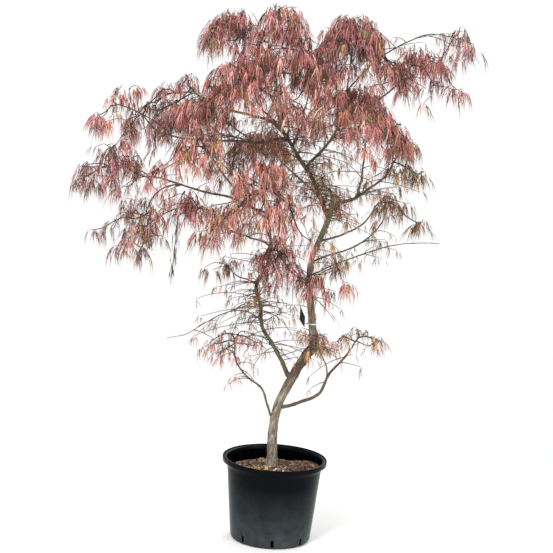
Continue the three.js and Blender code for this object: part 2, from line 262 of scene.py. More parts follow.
TRUNK_REACH = 0.020  # corners nearer than this to each other are of one ring
BOUGH_REACH = 0.0145
RING_PERCENTILE = 60  # of the corners' distances from the ring's middle, for its radius
SMALLEST_STEP = 0.45  # of the usual distance between rings
JOINT_DEPTH = 0.012  # how far a bough's line runs on to meet its bearer
JOINT_SWELLING = (1.06, 1.03)  # of a bough's radius, at its bearer and just off it
PATH_STEP = 0.004


def corners_of(node):
    """The places of the node's corners."""
    mesh = frame["nodes"][node].data
    places = np.empty(len(mesh.vertices) * 3, np.float32)
    mesh.vertices.foreach_get("co", places)
    return places.reshape(-1, 3).astype(float)


def triangles_of(node):
    """The node's triangles, as an array of three corners each."""
    mesh = frame["nodes"][node].data
    index = np.empty(len(mesh.loops), np.int32)
    mesh.loops.foreach_get("vertex_index", index)
    return corners_of(node)[index].reshape(-1, 3, 3)


def rings_of(node):
    """Centre and radius of each of the limb's rings. Corners in reach of each other get the
    same label by passing the lowest label on until nothing changes."""
    places = np.unique(np.round(corners_of(node), 5), axis=0)
    reach = TRUNK_REACH if node == "trunk" else BOUGH_REACH
    near = np.linalg.norm(places[:, None] - places[None], axis=2) < reach
    label = np.arange(len(places))
    while True:
        lowest = np.where(near, label[None], len(places)).min(axis=1)
        if (lowest == label).all():
            break
        label = lowest
    rings = [places[label == one] for one in np.unique(label)]
    centres = np.array([(ring.min(0) + ring.max(0)) / 2 for ring in rings])
    spread = [np.linalg.norm(ring - c, axis=1) for ring, c in zip(rings, centres)]
    return centres, np.array([np.percentile(one, RING_PERCENTILE) for one in spread])


def in_order(centres, radii, start):
    """Rings sorted by always going on to the nearest one left, without the stray ones that
    the cut round a bearer leaves."""
    left = list(range(len(centres)))
    here = int(np.argmin(np.linalg.norm(centres - start, axis=1)))
    chain = [here]
    left.remove(here)
    while left:
        gaps = np.linalg.norm(centres[left] - centres[chain[-1]], axis=1)
        chain.append(left.pop(int(np.argmin(gaps))))
    usual = np.median(measured(centres[chain])[0])
    kept = [chain[0]]
    for index in chain[1:]:
        gap = np.linalg.norm(centres[index] - centres[kept[-1]])
        if gap > SMALLEST_STEP * usual:
            kept.append(index)
        elif len(kept) > 1:
            kept[-1] = index
    return centres[kept], radii[kept]


@functools.cache
def limbs():
    """Every limb's middle line and radius along it, from its bearer to its tip."""
    made = {}
    for entry in frame["record"]["subparts"]:
        node = entry["node"]
        if entry["material_slot"] not in ("trunk_bark", "bough_bark", "dead_wood"):
            continue
        centres, radii = rings_of(node)
        if made and node != "dead_shoot":
            known = np.concatenate([path for path, _ in made.values()])
            apart = np.linalg.norm(centres[:, None] - known[None], axis=2)
            start = known[np.argmin(apart[np.argmin(apart.min(axis=1))])]
            centres, radii = in_order(centres, radii, start)
            heading = unit(centres[0] - centres[1])
            probe = centres[0] + JOINT_DEPTH * heading
            bearer = known[np.argmin(np.linalg.norm(known - probe, axis=1))]
            centres = np.concatenate([[bearer], centres])
            radii = np.concatenate([radii[1] * np.array(JOINT_SWELLING), radii[1:]])
        else:
            top_down = node == "dead_shoot"
            start = centres[np.argmax(centres[:, 2] if top_down else -centres[:, 2])]
            centres, radii = in_order(centres, radii, start)
        path, where, at = smooth_path(centres, PATH_STEP)
        made[node] = (path, np.interp(where, at, radii))
    return made


# ------------------------------------------------------------------ settings


class ContainerSettings(PropertyGroup):
    """The moulded nursery container."""

    wall: length("Wall", "Thickness of the moulded wall", 0.0028)
    corner: length("Corner", "Radius of the corner round the underside", 0.012)
    rim_depth: length("Rim depth", "Height of the band round the mouth", 0.015)
    lip: length("Lip", "Thickness of the rim's hanging lip", 0.0024)
    edge: length("Edge", "Radius of the rim's rounded upper edge", 0.0028)
    flared: length("Flare", "How far the mouth opens out to the rim", 0.0125)
    flare_depth: length("Flare depth", "Height over which the mouth opens out", 0.044)
    slot_low: length("Slot foot", "Height of the lower end of a drain slot", 0.006)
    slot_high: length("Slot head", "Height of the upper end of a drain slot", 0.030)
    slot_width: length("Slot width", "Width of a drain slot", 0.010)
    slots: count("Slots", "Drain slots round the foot", 8)
    slot_turn: angle("Slot turn", "Direction of the first drain slot", -86)
    black: colour("Plastic", "Carbon-black plastic", "#05070C")
    # Paler grey low on the wall: dried splashes of dust, and a painted reflection of the white
    # floor.
    dust_and_floor_reflection: colour("Dust", "Dried splashes low on the wall", "#4A5053")


class MulchSettings(PropertyGroup):
    """The potting mix and the bark on top of it."""

    bump: length("Bump", "Height of the lumps in the surface", 0.0032)
    lean: length("Lean", "How much higher the mix lies at the right wall", 0.020)
    depth: length("Depth", "How far down the modelled mix goes", 0.060)
    chips: count("Chips", "Bark chips that lie on the surface", 2600)
    chip: length("Chip", "Length of a middling chip", 0.0105)
    tan: colour("Tan", "Dry weathered bark", "#96795A")
    brown: colour("Brown", "Damp bark", "#6A4B38")
    red: colour("Red", "Fresh inner bark", "#8A4A32")
    dark: colour("Dark", "Wet rotted bark", "#241B17")
    pale: colour("Pale", "Split faces of wood in the mulch", "#CDB57E")
    white: colour("Grit", "Grains of perlite in the mix", "#D9D4C9")


class WoodSettings(PropertyGroup):
    """Trunk, boughs and twigs."""

    fissure: length("Fissures", "Depth of the cracks in the trunk's bark", 0.0011)
    flare: length("Flare", "How far the root flare's ribs stand out", 0.003)
    neck: share("Neck", "How much slimmer the trunk's foot is than its solid", 0.20)
    wander: length("Wander", "How far a limb strays from its smooth line", 0.0018)
    knuckle: share("Knuckles", "Swelling at each old leaf joint of a bough", 0.16)
    pale: colour("Pale bark", "Dry outer skin of the trunk", "#A29B8C")
    bark: colour("Bark", "Grey-brown bark", "#746857")
    dark_bark: colour("Dark bark", "Cracks, and the rough bark under the graft", "#453930")
    moss: colour("Moss", "Green algae on the shaded bark", "#6A7040")
    bough: colour("Bough", "Brown bark of the boughs", "#5A4D3E")
    twig: colour("Twig", "Purple-brown skin of a twig", "#3F2C27")
    dead: colour("Dead wood", "Withered shoot", "#5E5548")


class LeafSettings(PropertyGroup):
    """Seven-lobed lace leaves in sprays."""

    size: length("Length", "Length of a full leaf's middle lobe", 0.068)
    lobe: length("Lobe width", "Width of a lobe across its teeth", 0.0022)
    spread: angle("Spread", "Angle from the middle lobe to the outermost one", 40)
    droop: share("Droop", "How far the lobes' tips turn down", 0.90)
    curl: angle("Curl", "How far a lobe twists along its length", 60)
    spacing: length("Spray spacing", "Distance between sprays in a mass", 0.0190)
    step: length("Twig step", "Length of one stretch of a twig", 0.011)
    spray: count("Leaves", "Most leaves in a spray", 5)
    outreach: length("Outreach", "How far twigs stray from a mass towards its neighbours", 0.060)
    neighbour: length("Neighbour", "How near to another mass's middle they stray", 0.20)
    scatter: share("Scatter", "How full the space between masses is", 0.45)
    clump: length("Clump", "Size of the clumps and gaps in a mass", 0.045)
    loose: share("Loose", "How much chance blurs the edges of the clumps", 0.30)
    inset: length("Inset", "How far inside the whole crown its outermost sprays are", 0.010)
    clear: length("Clear", "How far to each side of the dead shoot nothing hides it", 0.035)
    low: length("Low growth", "Masses under this height have small, scattered leaves", 0.85)


class LabelSettings(PropertyGroup):
    """The blank tag on its strap."""

    width: share("Width", "Width of the tag, as a share of its solid's", 1.3)
    thickness: length("Thickness", "Thickness of the plastic sheet", 0.0008)
    bow: length("Bow", "How far the tag bends across its width", 0.0018)
    strap: length("Strap", "Width of the strap that holds the tag", 0.005)
    # Front: the tag's near-black face. It is dark plastic, darkened further as painted shade.
    front: colour("Front", "Face of the tag", "#090F12")
    back: colour("Back", "Plain side of the tag", "#C9CFC8")


class StageSettings(PropertyGroup):
    """Floor, lights and camera."""

    floor: colour("Floor", "Plain pale floor", "#F4F4F2")
    lens: FloatProperty(
        name="Lens", description="Focal length in mm", default=92.5, unit="CAMERA"
    )
    distance: length("Distance", "From the camera to the plant's axis", 4.5)
    height: length("Height", "Height of the camera above the floor", 1.495)
    pitch: angle("Pitch", "How far the camera looks up from the level", -8.0)
    yaw: angle("Yaw", "How far the camera looks to the right of the plant's axis", -0.4)
    roll: angle("Roll", "How far the camera leans over", 3.6)
    key: FloatProperty(name="Key", description="Power of the key light in W", default=190)
    ambient: share("Ambient", "Brightness of the light from all round", 0.78)


SETTINGS = {
    "maple_container": ContainerSettings,
    "maple_mulch": MulchSettings,
    "maple_wood": WoodSettings,
    "maple_leaf": LeafSettings,
    "maple_label": LabelSettings,
    "maple_stage": StageSettings,
}


# ------------------------------------------------------------------ materials

# A Mix node of colours: its inputs 0, 6 and 7 are the factor and the two colours, and its
# output 2 is the mixed colour.
COLOURS = {"out": 2, "data_type": "RGBA"}


def add(tree, kind, inputs=None, out=0, **settings):
    """Adds a shader node with its settings, and sets each input to a plain value or links it
    from a socket. Returns one of its outputs, or the node if it has none."""
    made = tree.nodes.new("ShaderNode" + kind)
    for key, value in settings.items():
        setattr(made, key, value)
    for key, value in (inputs or {}).items():
        if isinstance(value, bpy.types.NodeSocket):
            tree.links.new(value, made.inputs[key])
        else:
            made.inputs[key].default_value = value
    return made.outputs[out] if made.outputs else made


def opaque(rgb, brightness=1.0):
    return (*(min(1.0, channel * brightness) for channel in rgb), 1.0)


def new_material(name):
    """An empty material, and the function that adds a node to it."""
    material = bpy.data.materials.new(name)
    material.use_nodes = True
    material.node_tree.nodes.clear()
    return material, functools.partial(add, material.node_tree)


def finished(material, surface, height=None, depth=0.0):
    """Closes a material: bumps of a real depth in metres, the shader and the output."""
    tree = material.node_tree
    if height is not None:
        bumps = {"Height": height, "Distance": depth}
        surface["Normal"] = add(tree, "Bump", bumps, out="Normal")
    shader = add(tree, "BsdfPrincipled", surface, out="BSDF")
    add(tree, "OutputMaterial", {"Surface": shader})
    return material


def moulded_polypropylene(s):
    """Black injection-moulded polypropylene: a satin skin with a fine spark-eroded texture, paler
    and greyer near the foot, where dried splashes of dust and a painted reflection of the white
    floor are both laid into its colour. The real texture is about 0.2 mm and is drawn at 1.5 mm so
    that it shows. The mould leaves the wall smoother than the texture, so it mirrors little from in
    front and a lot at a low angle."""
    material, make = new_material("black_moulded_polypropylene")
    place = make("TexCoord", out="Object")
    height = make("SeparateXYZ", {"Vector": place}, out="Z")
    # The low, splash and dusty masks paint the lower wall paler grey: dried dust, and partly a
    # painted reflection of the white floor.
    low = make("MapRange", {"Value": height, "From Min": 0.20, "From Max": 0.0})
    splash_and_floor_reflection = make("TexNoise", {"Vector": place, "Scale": 1 / 0.05, "Detail": 6, "Roughness": 0.7})
    splash_and_floor_reflection = make("MapRange", {"Value": splash_and_floor_reflection, "From Min": 0.05, "From Max": 0.85})
    dusty = make("Math", {0: low, 1: splash_and_floor_reflection}, operation="MULTIPLY")
    black, dust_and_floor_reflection = opaque(s.black), opaque(s.dust_and_floor_reflection)
    base = make("Mix", {0: dusty, 6: black, 7: dust_and_floor_reflection}, **COLOURS)
    gloss = make("TexNoise", {"Vector": place, "Scale": 1 / 0.045, "Detail": 4})
    rough = make("MapRange", {"Value": gloss, "To Min": 0.20, "To Max": 0.33})
    grain = make("TexNoise", {"Vector": place, "Scale": 1 / 0.0015, "Detail": 2})
    surface = {"Base Color": base, "Roughness": rough, "IOR": 1.49, "Specular IOR Level": 0.05}
    return finished(material, surface, grain, 0.00004)


def composted_bark(s):
    """Composted bark and peat: dark and matt, with tan crumbs of 3 mm."""
    material, make = new_material("composted_bark_mix")
    place = make("TexCoord", out="Object")
    crumbs = make("TexNoise", {"Vector": place, "Scale": 1 / 0.004, "Detail": 4, "Roughness": 0.7})
    share_of_tan = make("MapRange", {"Value": crumbs, "From Min": 0.5, "From Max": 0.64})
    patches = make("TexNoise", {"Vector": place, "Scale": 1 / 0.03, "Detail": 2})
    patches = make("MapRange", {"Value": patches, "From Min": 0.42, "From Max": 0.66})
    dark, red, tan = opaque(s.dark), opaque(s.red, 0.6), opaque(s.tan, 0.8)
    ground = make("Mix", {0: patches, 6: dark, 7: red}, **COLOURS)
    base = make("Mix", {0: share_of_tan, 6: ground, 7: tan}, **COLOURS)
    return finished(material, {"Base Color": base, "Roughness": 0.95}, crumbs, 0.0012)


def bark_chip(name, rgb):
    """A chip of pine bark or split wood: matt, with fibres about 0.5 mm apart that are drawn
    at 1.2 mm so that they show, and darker where it is damp."""
    material, make = new_material(name)
    place = make("TexCoord", out="Object")
    fibres = make("TexNoise", {"Vector": place, "Scale": 1 / 0.0012, "Detail": 3})
    damp = make("TexNoise", {"Vector": place, "Scale": 1 / 0.012, "Detail": 2})
    both = make("Math", {0: fibres, 1: damp}, operation="ADD")
    lit = make("MapRange", {"Value": both, "From Min": 0.75, "From Max": 1.3})
    base = make("Mix", {0: lit, 6: opaque(rgb, 0.35), 7: opaque(rgb, 1.15)}, **COLOURS)
    return finished(material, {"Base Color": base, "Roughness": 0.9}, fibres, 0.0004)


def trunk_bark(s):
    """Maple bark of five to ten years: a dry grey skin that flakes off brown in patches of
    about 12 mm, with lengthwise cracks 3 mm apart. Under the graft it is brown and rough,
    and near the stub it is green with algae. Matt everywhere."""
    material, make = new_material("young_maple_bark")
    place = make("TexCoord", out="Object")
    height = make("SeparateXYZ", {"Vector": place}, out="Z")
    grain = make("Attribute", out="Vector", attribute_name="grain")
    drawn_out = make("Mapping", {"Vector": grain, "Scale": (1.0, 1.0, 0.28)})
    flakes = {"Vector": drawn_out, "Scale": 1 / 0.008, "Detail": 5, "Roughness": 0.65}
    flakes = make("TexNoise", flakes)
    flaked = make("MapRange", {"Value": flakes, "From Min": 0.42, "From Max": 0.54})
    base = make("Mix", {0: flaked, 6: opaque(s.pale), 7: opaque(s.bark)}, **COLOURS)
    above = {"Value": height, "From Min": 0.45, "From Max": 0.72, "To Max": 0.55}
    browner = make("MapRange", above)
    base = make("Mix", {0: browner, 6: base, 7: opaque(s.bark)}, **COLOURS)
    far_out = make("Mapping", {"Vector": grain, "Scale": (1.0, 1.0, 0.14)})
    cracks = {"Vector": far_out, "Scale": 1 / 0.0042, "Detail": 4, "Roughness": 0.6}
    cracks = make("TexNoise", cracks)
    cracked = make("MapRange", {"Value": cracks, "From Min": 0.5, "From Max": 0.38})
    dark = opaque(s.dark_bark)
    base = make("Mix", {0: cracked, 6: base, 7: dark}, **COLOURS)
    rising = make("MapRange", {"Value": height, "From Min": 0.48, "From Max": 0.56})
    falling = make("MapRange", {"Value": height, "From Min": 0.69, "From Max": 0.66})
    patches = make("TexNoise", {"Vector": place, "Scale": 1 / 0.03, "Detail": 4})
    patched = make("MapRange", {"Value": patches, "From Min": 0.25, "From Max": 0.5})
    rough_part = make("Math", {0: rising, 1: falling}, operation="MULTIPLY")
    rough_part = make("Math", {0: rough_part, 1: patched}, operation="MULTIPLY")
    base = make("Mix", {0: rough_part, 6: base, 7: dark}, **COLOURS)
    top_end = make("MapRange", {"Value": height, "From Min": 0.88, "From Max": 1.03})
    spread = make("MapRange", {"Value": patches, "From Min": 0.36, "From Max": 0.54})
    mossy = make("Math", {0: top_end, 1: spread}, operation="MULTIPLY")
    foot = {"Value": height, "From Min": 0.45, "From Max": 0.3, "To Max": 0.5}
    foot = make("MapRange", foot)
    streaks = make("MapRange", {"Value": patches, "From Min": 0.5, "From Max": 0.62})
    foot = make("Math", {0: foot, 1: streaks}, operation="MULTIPLY")
    green = make("Math", {0: mossy, 1: foot}, operation="MAXIMUM")
    base = make("Mix", {0: green, 6: base, 7: opaque(s.moss)}, **COLOURS)
    return finished(material, {"Base Color": base, "Roughness": 0.88}, cracks, 0.0018)


def bough_bark(s):
    """Bark of three to five years: smooth brown with lengthwise streaks about 3 mm wide, and
    grey-green where algae film the lit side."""
    material, make = new_material("smooth_bough_bark")
    place = make("TexCoord", out="Object")
    grain = make("Attribute", out="Vector", attribute_name="grain")
    drawn_out = make("Mapping", {"Vector": grain, "Scale": (1.0, 1.0, 0.16)})
    streaks = make("TexNoise", {"Vector": drawn_out, "Scale": 1 / 0.0032, "Detail": 4})
    patches = make("TexNoise", {"Vector": place, "Scale": 1 / 0.04, "Detail": 3})
    filmed = make("MapRange", {"Value": patches, "From Min": 0.46, "From Max": 0.62, "To Max": 0.6})
    base = make("Mix", {0: filmed, 6: opaque(s.bough), 7: opaque(s.moss, 0.9)}, **COLOURS)
    dark = make("MapRange", {"Value": streaks, "From Min": 0.52, "From Max": 0.38})
    base = make("Mix", {0: dark, 6: base, 7: opaque(s.twig, 0.6)}, **COLOURS)
    return finished(material, {"Base Color": base, "Roughness": 0.8}, streaks, 0.0009)


def twig_skin(s):
    """The thin, slightly waxy skin of this year's shoots, darker on some than on others."""
    material, make = new_material("waxy_twig_skin")
    place = make("TexCoord", out="Object")
    patches = make("TexNoise", {"Vector": place, "Scale": 1 / 0.02, "Detail": 3})
    lit = make("MapRange", {"Value": patches, "From Min": 0.3, "From Max": 0.7})
    base = make("Mix", {0: lit, 6: opaque(s.twig, 0.45), 7: opaque(s.twig, 1.3)}, **COLOURS)
    ridges = make("TexNoise", {"Vector": place, "Scale": 1 / 0.004, "Detail": 2})
    return finished(material, {"Base Color": base, "Roughness": 0.6}, ridges, 0.0003)


def cut_wood(s):
    """The old pruning cut: weathered end grain with rings 1.5 mm apart, grey and matt."""
    material, make = new_material("weathered_cut_wood")
    grain = make("Attribute", out="Vector", attribute_name="grain")
    flat = make("Mapping", {"Vector": grain, "Scale": (1.0, 1.0, 0.0)})
    wave = {"Vector": flat, "Scale": 1 / 0.0015, "Distortion": 1.5}
    rings = make("TexWave", wave, out="Fac", wave_type="RINGS", rings_direction="Z")
    base = make("Mix", {0: rings, 6: opaque(s.dark_bark), 7: opaque(s.pale)}, **COLOURS)
    return finished(material, {"Base Color": base, "Roughness": 0.9}, rings, 0.0003)


def withered_wood(s):
    """A dead shoot: grey-brown, shrunk into lengthwise wrinkles 1.5 mm apart."""
    material, make = new_material("withered_shoot")
    grain = make("Attribute", out="Vector", attribute_name="grain")
    drawn_out = make("Mapping", {"Vector": grain, "Scale": (1.0, 1.0, 0.12)})
    wrinkles = make("TexNoise", {"Vector": drawn_out, "Scale": 1 / 0.0015, "Detail": 3})
    lit = make("MapRange", {"Value": wrinkles, "From Min": 0.3, "From Max": 0.7})
    base = make("Mix", {0: lit, 6: opaque(s.dead, 0.45), 7: opaque(s.dead)}, **COLOURS)
    return finished(material, {"Base Color": base, "Roughness": 0.92}, wrinkles, 0.0005)


def label_sheet(name, rgb):
    """Blank polythene sheet, die-cut: smooth, and scuffed paler and duller by weather."""
    material, make = new_material(name)
    place = make("TexCoord", out="Object")
    scuffs = make("TexNoise", {"Vector": place, "Scale": 1 / 0.006, "Detail": 4, "Roughness": 0.7})
    scuffed = make("MapRange", {"Value": scuffs, "From Min": 0.45, "From Max": 0.75})
    worn = tuple(0.8 * channel + 0.02 for channel in rgb)
    base = make("Mix", {0: scuffed, 6: opaque(rgb), 7: opaque(worn)}, **COLOURS)
    rough = make("MapRange", {"Value": scuffed, "To Min": 0.28, "To Max": 0.5})
    surface = {"Base Color": base, "Roughness": rough, "IOR": 1.51}
    return finished(material, surface, scuffs, 0.00005)


# Autumn tints, each one plain colour. They are dealt out by spray, leaf and lobe.
TINTS = {
    # Salmon is a pale leaf tint. It also stands in for painted highlights on the lobes.
    "salmon": "#DAA99F",
    "coral": "#C57871",
    "rose": "#B26D70",
    "brick": "#A0574C",
    "rust": "#A66D52",
    "mauve": "#957578",
    "maroon": "#5C2F2B",
    # Umber is a dark dead-leaf tint. It is also drawn on lobes as painted shade between the leaves.
    "umber": "#371E18",
    "bronze": "#805D43",
    "ochre": "#BC9558",
    "olive": "#797146",
    "dried": "#57534A",
}

# How often each tint is drawn, for each of the record's leaf finishes and for some mixes
# that lie between them.
MIXES = {
    "leaves_coral": {
        "salmon": 4, "coral": 9, "rose": 4, "brick": 4, "rust": 2, "maroon": 2, "bronze": 2,
        "ochre": 1, "olive": 1, "umber": 1,
    },
    "leaves_rose": {
        "salmon": 3, "rose": 6, "coral": 6, "mauve": 2, "brick": 3, "maroon": 2, "bronze": 2,
        "ochre": 1, "olive": 1, "umber": 1,
    },
    "leaves_rust": {
        "salmon": 2, "brick": 5, "rust": 5, "coral": 5, "ochre": 1, "bronze": 4, "maroon": 2,
        "olive": 2, "umber": 1,
    },
    "leaves_bronze": {
        "bronze": 5, "maroon": 4, "rust": 3, "mauve": 2, "rose": 3, "brick": 2, "olive": 3,
        "umber": 2,
    },
    "leaves_olive": {
        "olive": 6, "ochre": 2, "rust": 2, "bronze": 4, "coral": 1, "brick": 2, "maroon": 2,
        "umber": 3,
    },
    "glowing": {
        "salmon": 4, "coral": 6, "rust": 4, "brick": 4, "ochre": 2, "rose": 1, "bronze": 1,
        "olive": 1, "umber": 1,
    },
    "golden": {"ochre": 7, "rust": 3, "olive": 3, "salmon": 2, "brick": 1, "umber": 1},
    "blushing": {
        "rose": 4, "coral": 3, "salmon": 2, "bronze": 3, "olive": 3, "ochre": 2, "umber": 2,
    },
    "dusty": {"rose": 5, "salmon": 3, "mauve": 4, "rust": 3, "bronze": 2, "olive": 1, "umber": 1},
    "dead_wood": {"dried": 4, "umber": 1, "olive": 1},
}


@functools.cache
def leaf_tissue(tint):
    """A thin autumn leaf: matt, with a little waxy sheen at a low angle. Its colour has a
    place on the plant, so it is one plain colour."""
    material, _ = new_material("autumn_leaf_" + tint)
    base = opaque(linear(TINTS[tint]))
    surface = {"Base Color": base, "Roughness": 0.55, "Specular IOR Level": 0.35}
    return finished(material, surface)


@functools.cache
def finish_of(maker, group):
    """One material for each maker, shared by all the pieces that take it."""
    return maker(getattr(bpy.context.scene, group))


# ------------------------------------------------------------------ container

CORNER_ROWS = 10
UNDERSIDE = ((0.0, 0.0), (0.05, 0.0), (0.10, 0.0))  # radius and height of its inner rows
WALL_ROWS = (0.018, 0.024)  # heights of the wall's rows under the head of the slots
UPPER_ROWS = (0.06, 0.10, 0.15, 0.20, 0.235)  # and over it
SLOT_COLUMNS = 3
WALL_COLUMNS = 24  # from one slot to the next
LIP_ROWS = 8
EDGE_ROWS = 7
FLARE_POWER = 1.4
SOFTENING = 0.002  # how far from a corner the rows stand that soften it
MOUTH_SET = 0.0015  # how far under the rim's top the mouth's curve starts
MOUTH_EDGE = ((0.0012, 0.0), (0.0003, -0.0004))  # the two rows that turn in to that curve


def container_profile(s):
    """Sizes of the container's own solid: the (radius, height) rows of the corner round its
    foot, the radius under its band, the band's height, the rim's radius and its height."""
    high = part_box("pot")[1]
    solid = corners_of("pot")
    radius = np.hypot(solid[:, 0], solid[:, 1])
    foot = radius[solid[:, 2] < 1e-5].max()
    rim = high.x
    band = high.z - s.rim_depth
    under_rim = radius[np.abs(solid[:, 2] - band) < 1e-4]
    wall_top = np.unique(np.round(under_rim, 4))[-2]
    base = foot + s.corner
    lean = math.atan2(wall_top - base, band)
    turns = np.linspace(-math.pi / 2, -lean, CORNER_ROWS)
    corner = np.stack([foot + s.corner * np.cos(turns), s.corner * (1 + np.sin(turns))], 1)
    return corner, wall_top, band, rim, high.z


def container_rows(s):
    """(radius, height) rows of the outer skin and, matched to them, of the inner skin one
    wall thickness in. The wall leans outwards evenly, and the rim is a rolled band."""
    corner, wall_top, band, rim, top = container_profile(s)
    heights = (*WALL_ROWS, s.slot_high, *UPPER_ROWS, band)
    start = corner[-1]
    slope = (wall_top - start[0]) / (band - start[1])
    wall = [(start[0] + slope * (z - start[1]), z) for z in heights]
    outer = np.concatenate([UNDERSIDE, corner, wall])
    step = np.gradient(outer, axis=0)
    normal = unit(np.stack([step[:, 1], -step[:, 0]], axis=1))
    inner = outer - s.wall * normal
    inner[0, 0] = 0.0
    return outer, inner, slope, rim, top


def rim_rows(outer_end, inner_end, s, slope, rim, top):
    """The moulded rim: out under a hollow band, down its inside, round its lip, up the
    outside, over a rounded edge, and down the mouth, where x = wall + flare (1 - t)^power."""
    lip, edge = s.lip, s.edge
    foot, shelf = top - s.rim_depth, top - 1.3 * lip
    wall = outer_end[0] + slope * (shelf - outer_end[1])
    inside = rim - lip
    under = [
        (wall, shelf - SOFTENING),
        (wall + 0.75 * SOFTENING, shelf),
        (inside - SOFTENING, shelf),
        (inside, shelf - SOFTENING),
    ]
    half = np.linspace(0, math.pi, LIP_ROWS)
    x, z = rim - lip / 2 * (1 + np.cos(half)), foot + lip / 2 * (1 - np.sin(half))
    round_lip = np.stack([x, z], 1)
    quarter = np.linspace(0, math.pi / 2, EDGE_ROWS)
    x, z = rim - edge * (1 - np.cos(quarter)), top - edge * (1 - np.sin(quarter))
    over = np.stack([x, z], 1)
    t = half / math.pi
    sunk = top - MOUTH_SET - s.flare_depth * t
    wall = inner_end[0] + slope * (sunk - inner_end[1])
    down = np.stack([wall + s.flared * (1 - t) ** FLARE_POWER, sunk], 1)
    turned_in = np.array([down[0, 0], top]) + np.array(MOUTH_EDGE)
    return np.concatenate([under, round_lip, over, turned_in, down])


def slot_walls(near, far, starts):
    """The walls round each slot, between rows of the outer skin and the rows of the inner
    skin that match them. A slot begins at each of the given columns."""
    walls = []
    for left in starts:
        right = left + SLOT_COLUMNS - 1
        across = slice(left, right + 1)
        sides = ((slice(None), left), (slice(None), right), (0, across), (-1, across))
        for side, way in zip(sides, (-1, 1, 1, -1)):
            walls.append(strip_faces(near[side], far[side])[:, ::way])
    return walls


def build_container(s):
    """A profile turned round the axis: radius and height come from the rows, and
    x = radius cos(turn), y = radius sin(turn). Slots are windows between matching rows of
    the two skins, closed by a wall all round."""
    outer, inner, slope, rim, top = container_rows(s)
    over = rim_rows(outer[-1], inner[-1], s, slope, rim, top)
    rows = np.concatenate([outer, over, inner[::-1]])
    radius = outer[np.argmin(np.abs(outer[:, 1] - s.slot_high)), 0]
    half = s.slot_width / 2 / radius
    sector = TURN / s.slots
    between_slots = np.linspace(half, sector - half, WALL_COLUMNS)[1:-1]
    pattern = np.concatenate([np.linspace(-half, half, SLOT_COLUMNS), between_slots])
    turns = (s.slot_turn + np.arange(s.slots)[:, None] * sector + pattern[None]).ravel()
    columns = len(turns)
    used = rows[1:-1]
    skin = round_axis(used[:, :1], turns, used[:, 1:]).reshape(-1, 3)
    index = np.arange(len(skin)).reshape(len(used), columns)
    ahead = np.roll(index, -1, axis=1)
    quads = ring_faces(1, len(used), columns)
    first = int(np.argmin(np.abs(outer[:, 1] - s.slot_low)[2:])) + 1
    last = int(np.argmin(np.abs(outer[:, 1] - s.slot_high))) - 1
    matching = len(used) - 1 - np.arange(first, last + 1)
    window = np.arange(columns) % len(pattern) < SLOT_COLUMNS - 1
    keep = np.ones((len(used) - 1, columns), bool)
    keep[first:last, window] = False
    keep[len(used) - 1 - last : len(used) - 1 - first, window] = False
    starts = np.flatnonzero(np.arange(columns) % len(pattern) == 0)
    walls = slot_walls(index[first : last + 1], index[matching], starts)
    middle = np.array([[0.0, 0.0, rows[0, 1]], [0.0, 0.0, rows[-1, 1]]])
    under, floor = len(skin), len(skin) + 1
    below = np.stack([np.full(columns, under), ahead[0], index[0]], -1)
    above = np.stack([np.full(columns, floor), index[-1], ahead[-1]], -1)
    faces = [quads[keep.ravel()], *walls, below, above]
    places = np.concatenate([skin, middle])
    material = finish_of(moulded_polypropylene, "maple_container")
    piece = new_piece("container", places, faces, [material])
    place_piece(piece, "pot_plastic", "pot")


# ------------------------------------------------------------------ potting mix


MULCH_RINGS, MULCH_SIDES = 60, 180
LUMPS = ((0.6, 0.022, 0), (0.4, 0.007, 5))
TRUNK_FOOT = -0.009  # where the trunk stands, along X
SMOOTHED = (0.02, 0.05)  # distances from the trunk between which the lumps set in
INNER = 0.03  # corners nearer to the axis are round the trunk, and the lean starts here
FALL_START = 0.8  # where the fall to the wall begins, as a share of the level patch
TAPER = 0.094  # how fast the container narrows downwards
SKIRT = 0.02  # how far under the surface it starts to narrow


def mulch_height(places, s):
    """Height of the potting mix: level round the trunk, falling to the wall, with lumps."""
    x, y = places[..., 0], places[..., 1]
    solid = corners_of("soil")
    radius = np.hypot(solid[:, 0], solid[:, 1])
    level = solid[:, 2].max() - s.bump
    patch = radius[(radius > INNER) & (solid[:, 2] > level)].min()
    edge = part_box("soil")[1].x
    wall_height = solid[radius > edge - 0.002, 2].max()
    fall = smooth_step(patch * FALL_START, edge, np.hypot(x, y))
    lumps = noises(places, 3, LUMPS) * smooth_step(*SMOOTHED, np.hypot(x - TRUNK_FOOT, y))
    piled = s.lean * smooth_step(INNER, edge, x) * fall
    return between(level + s.bump * 0.4, wall_height, fall) + piled + s.bump * lumps


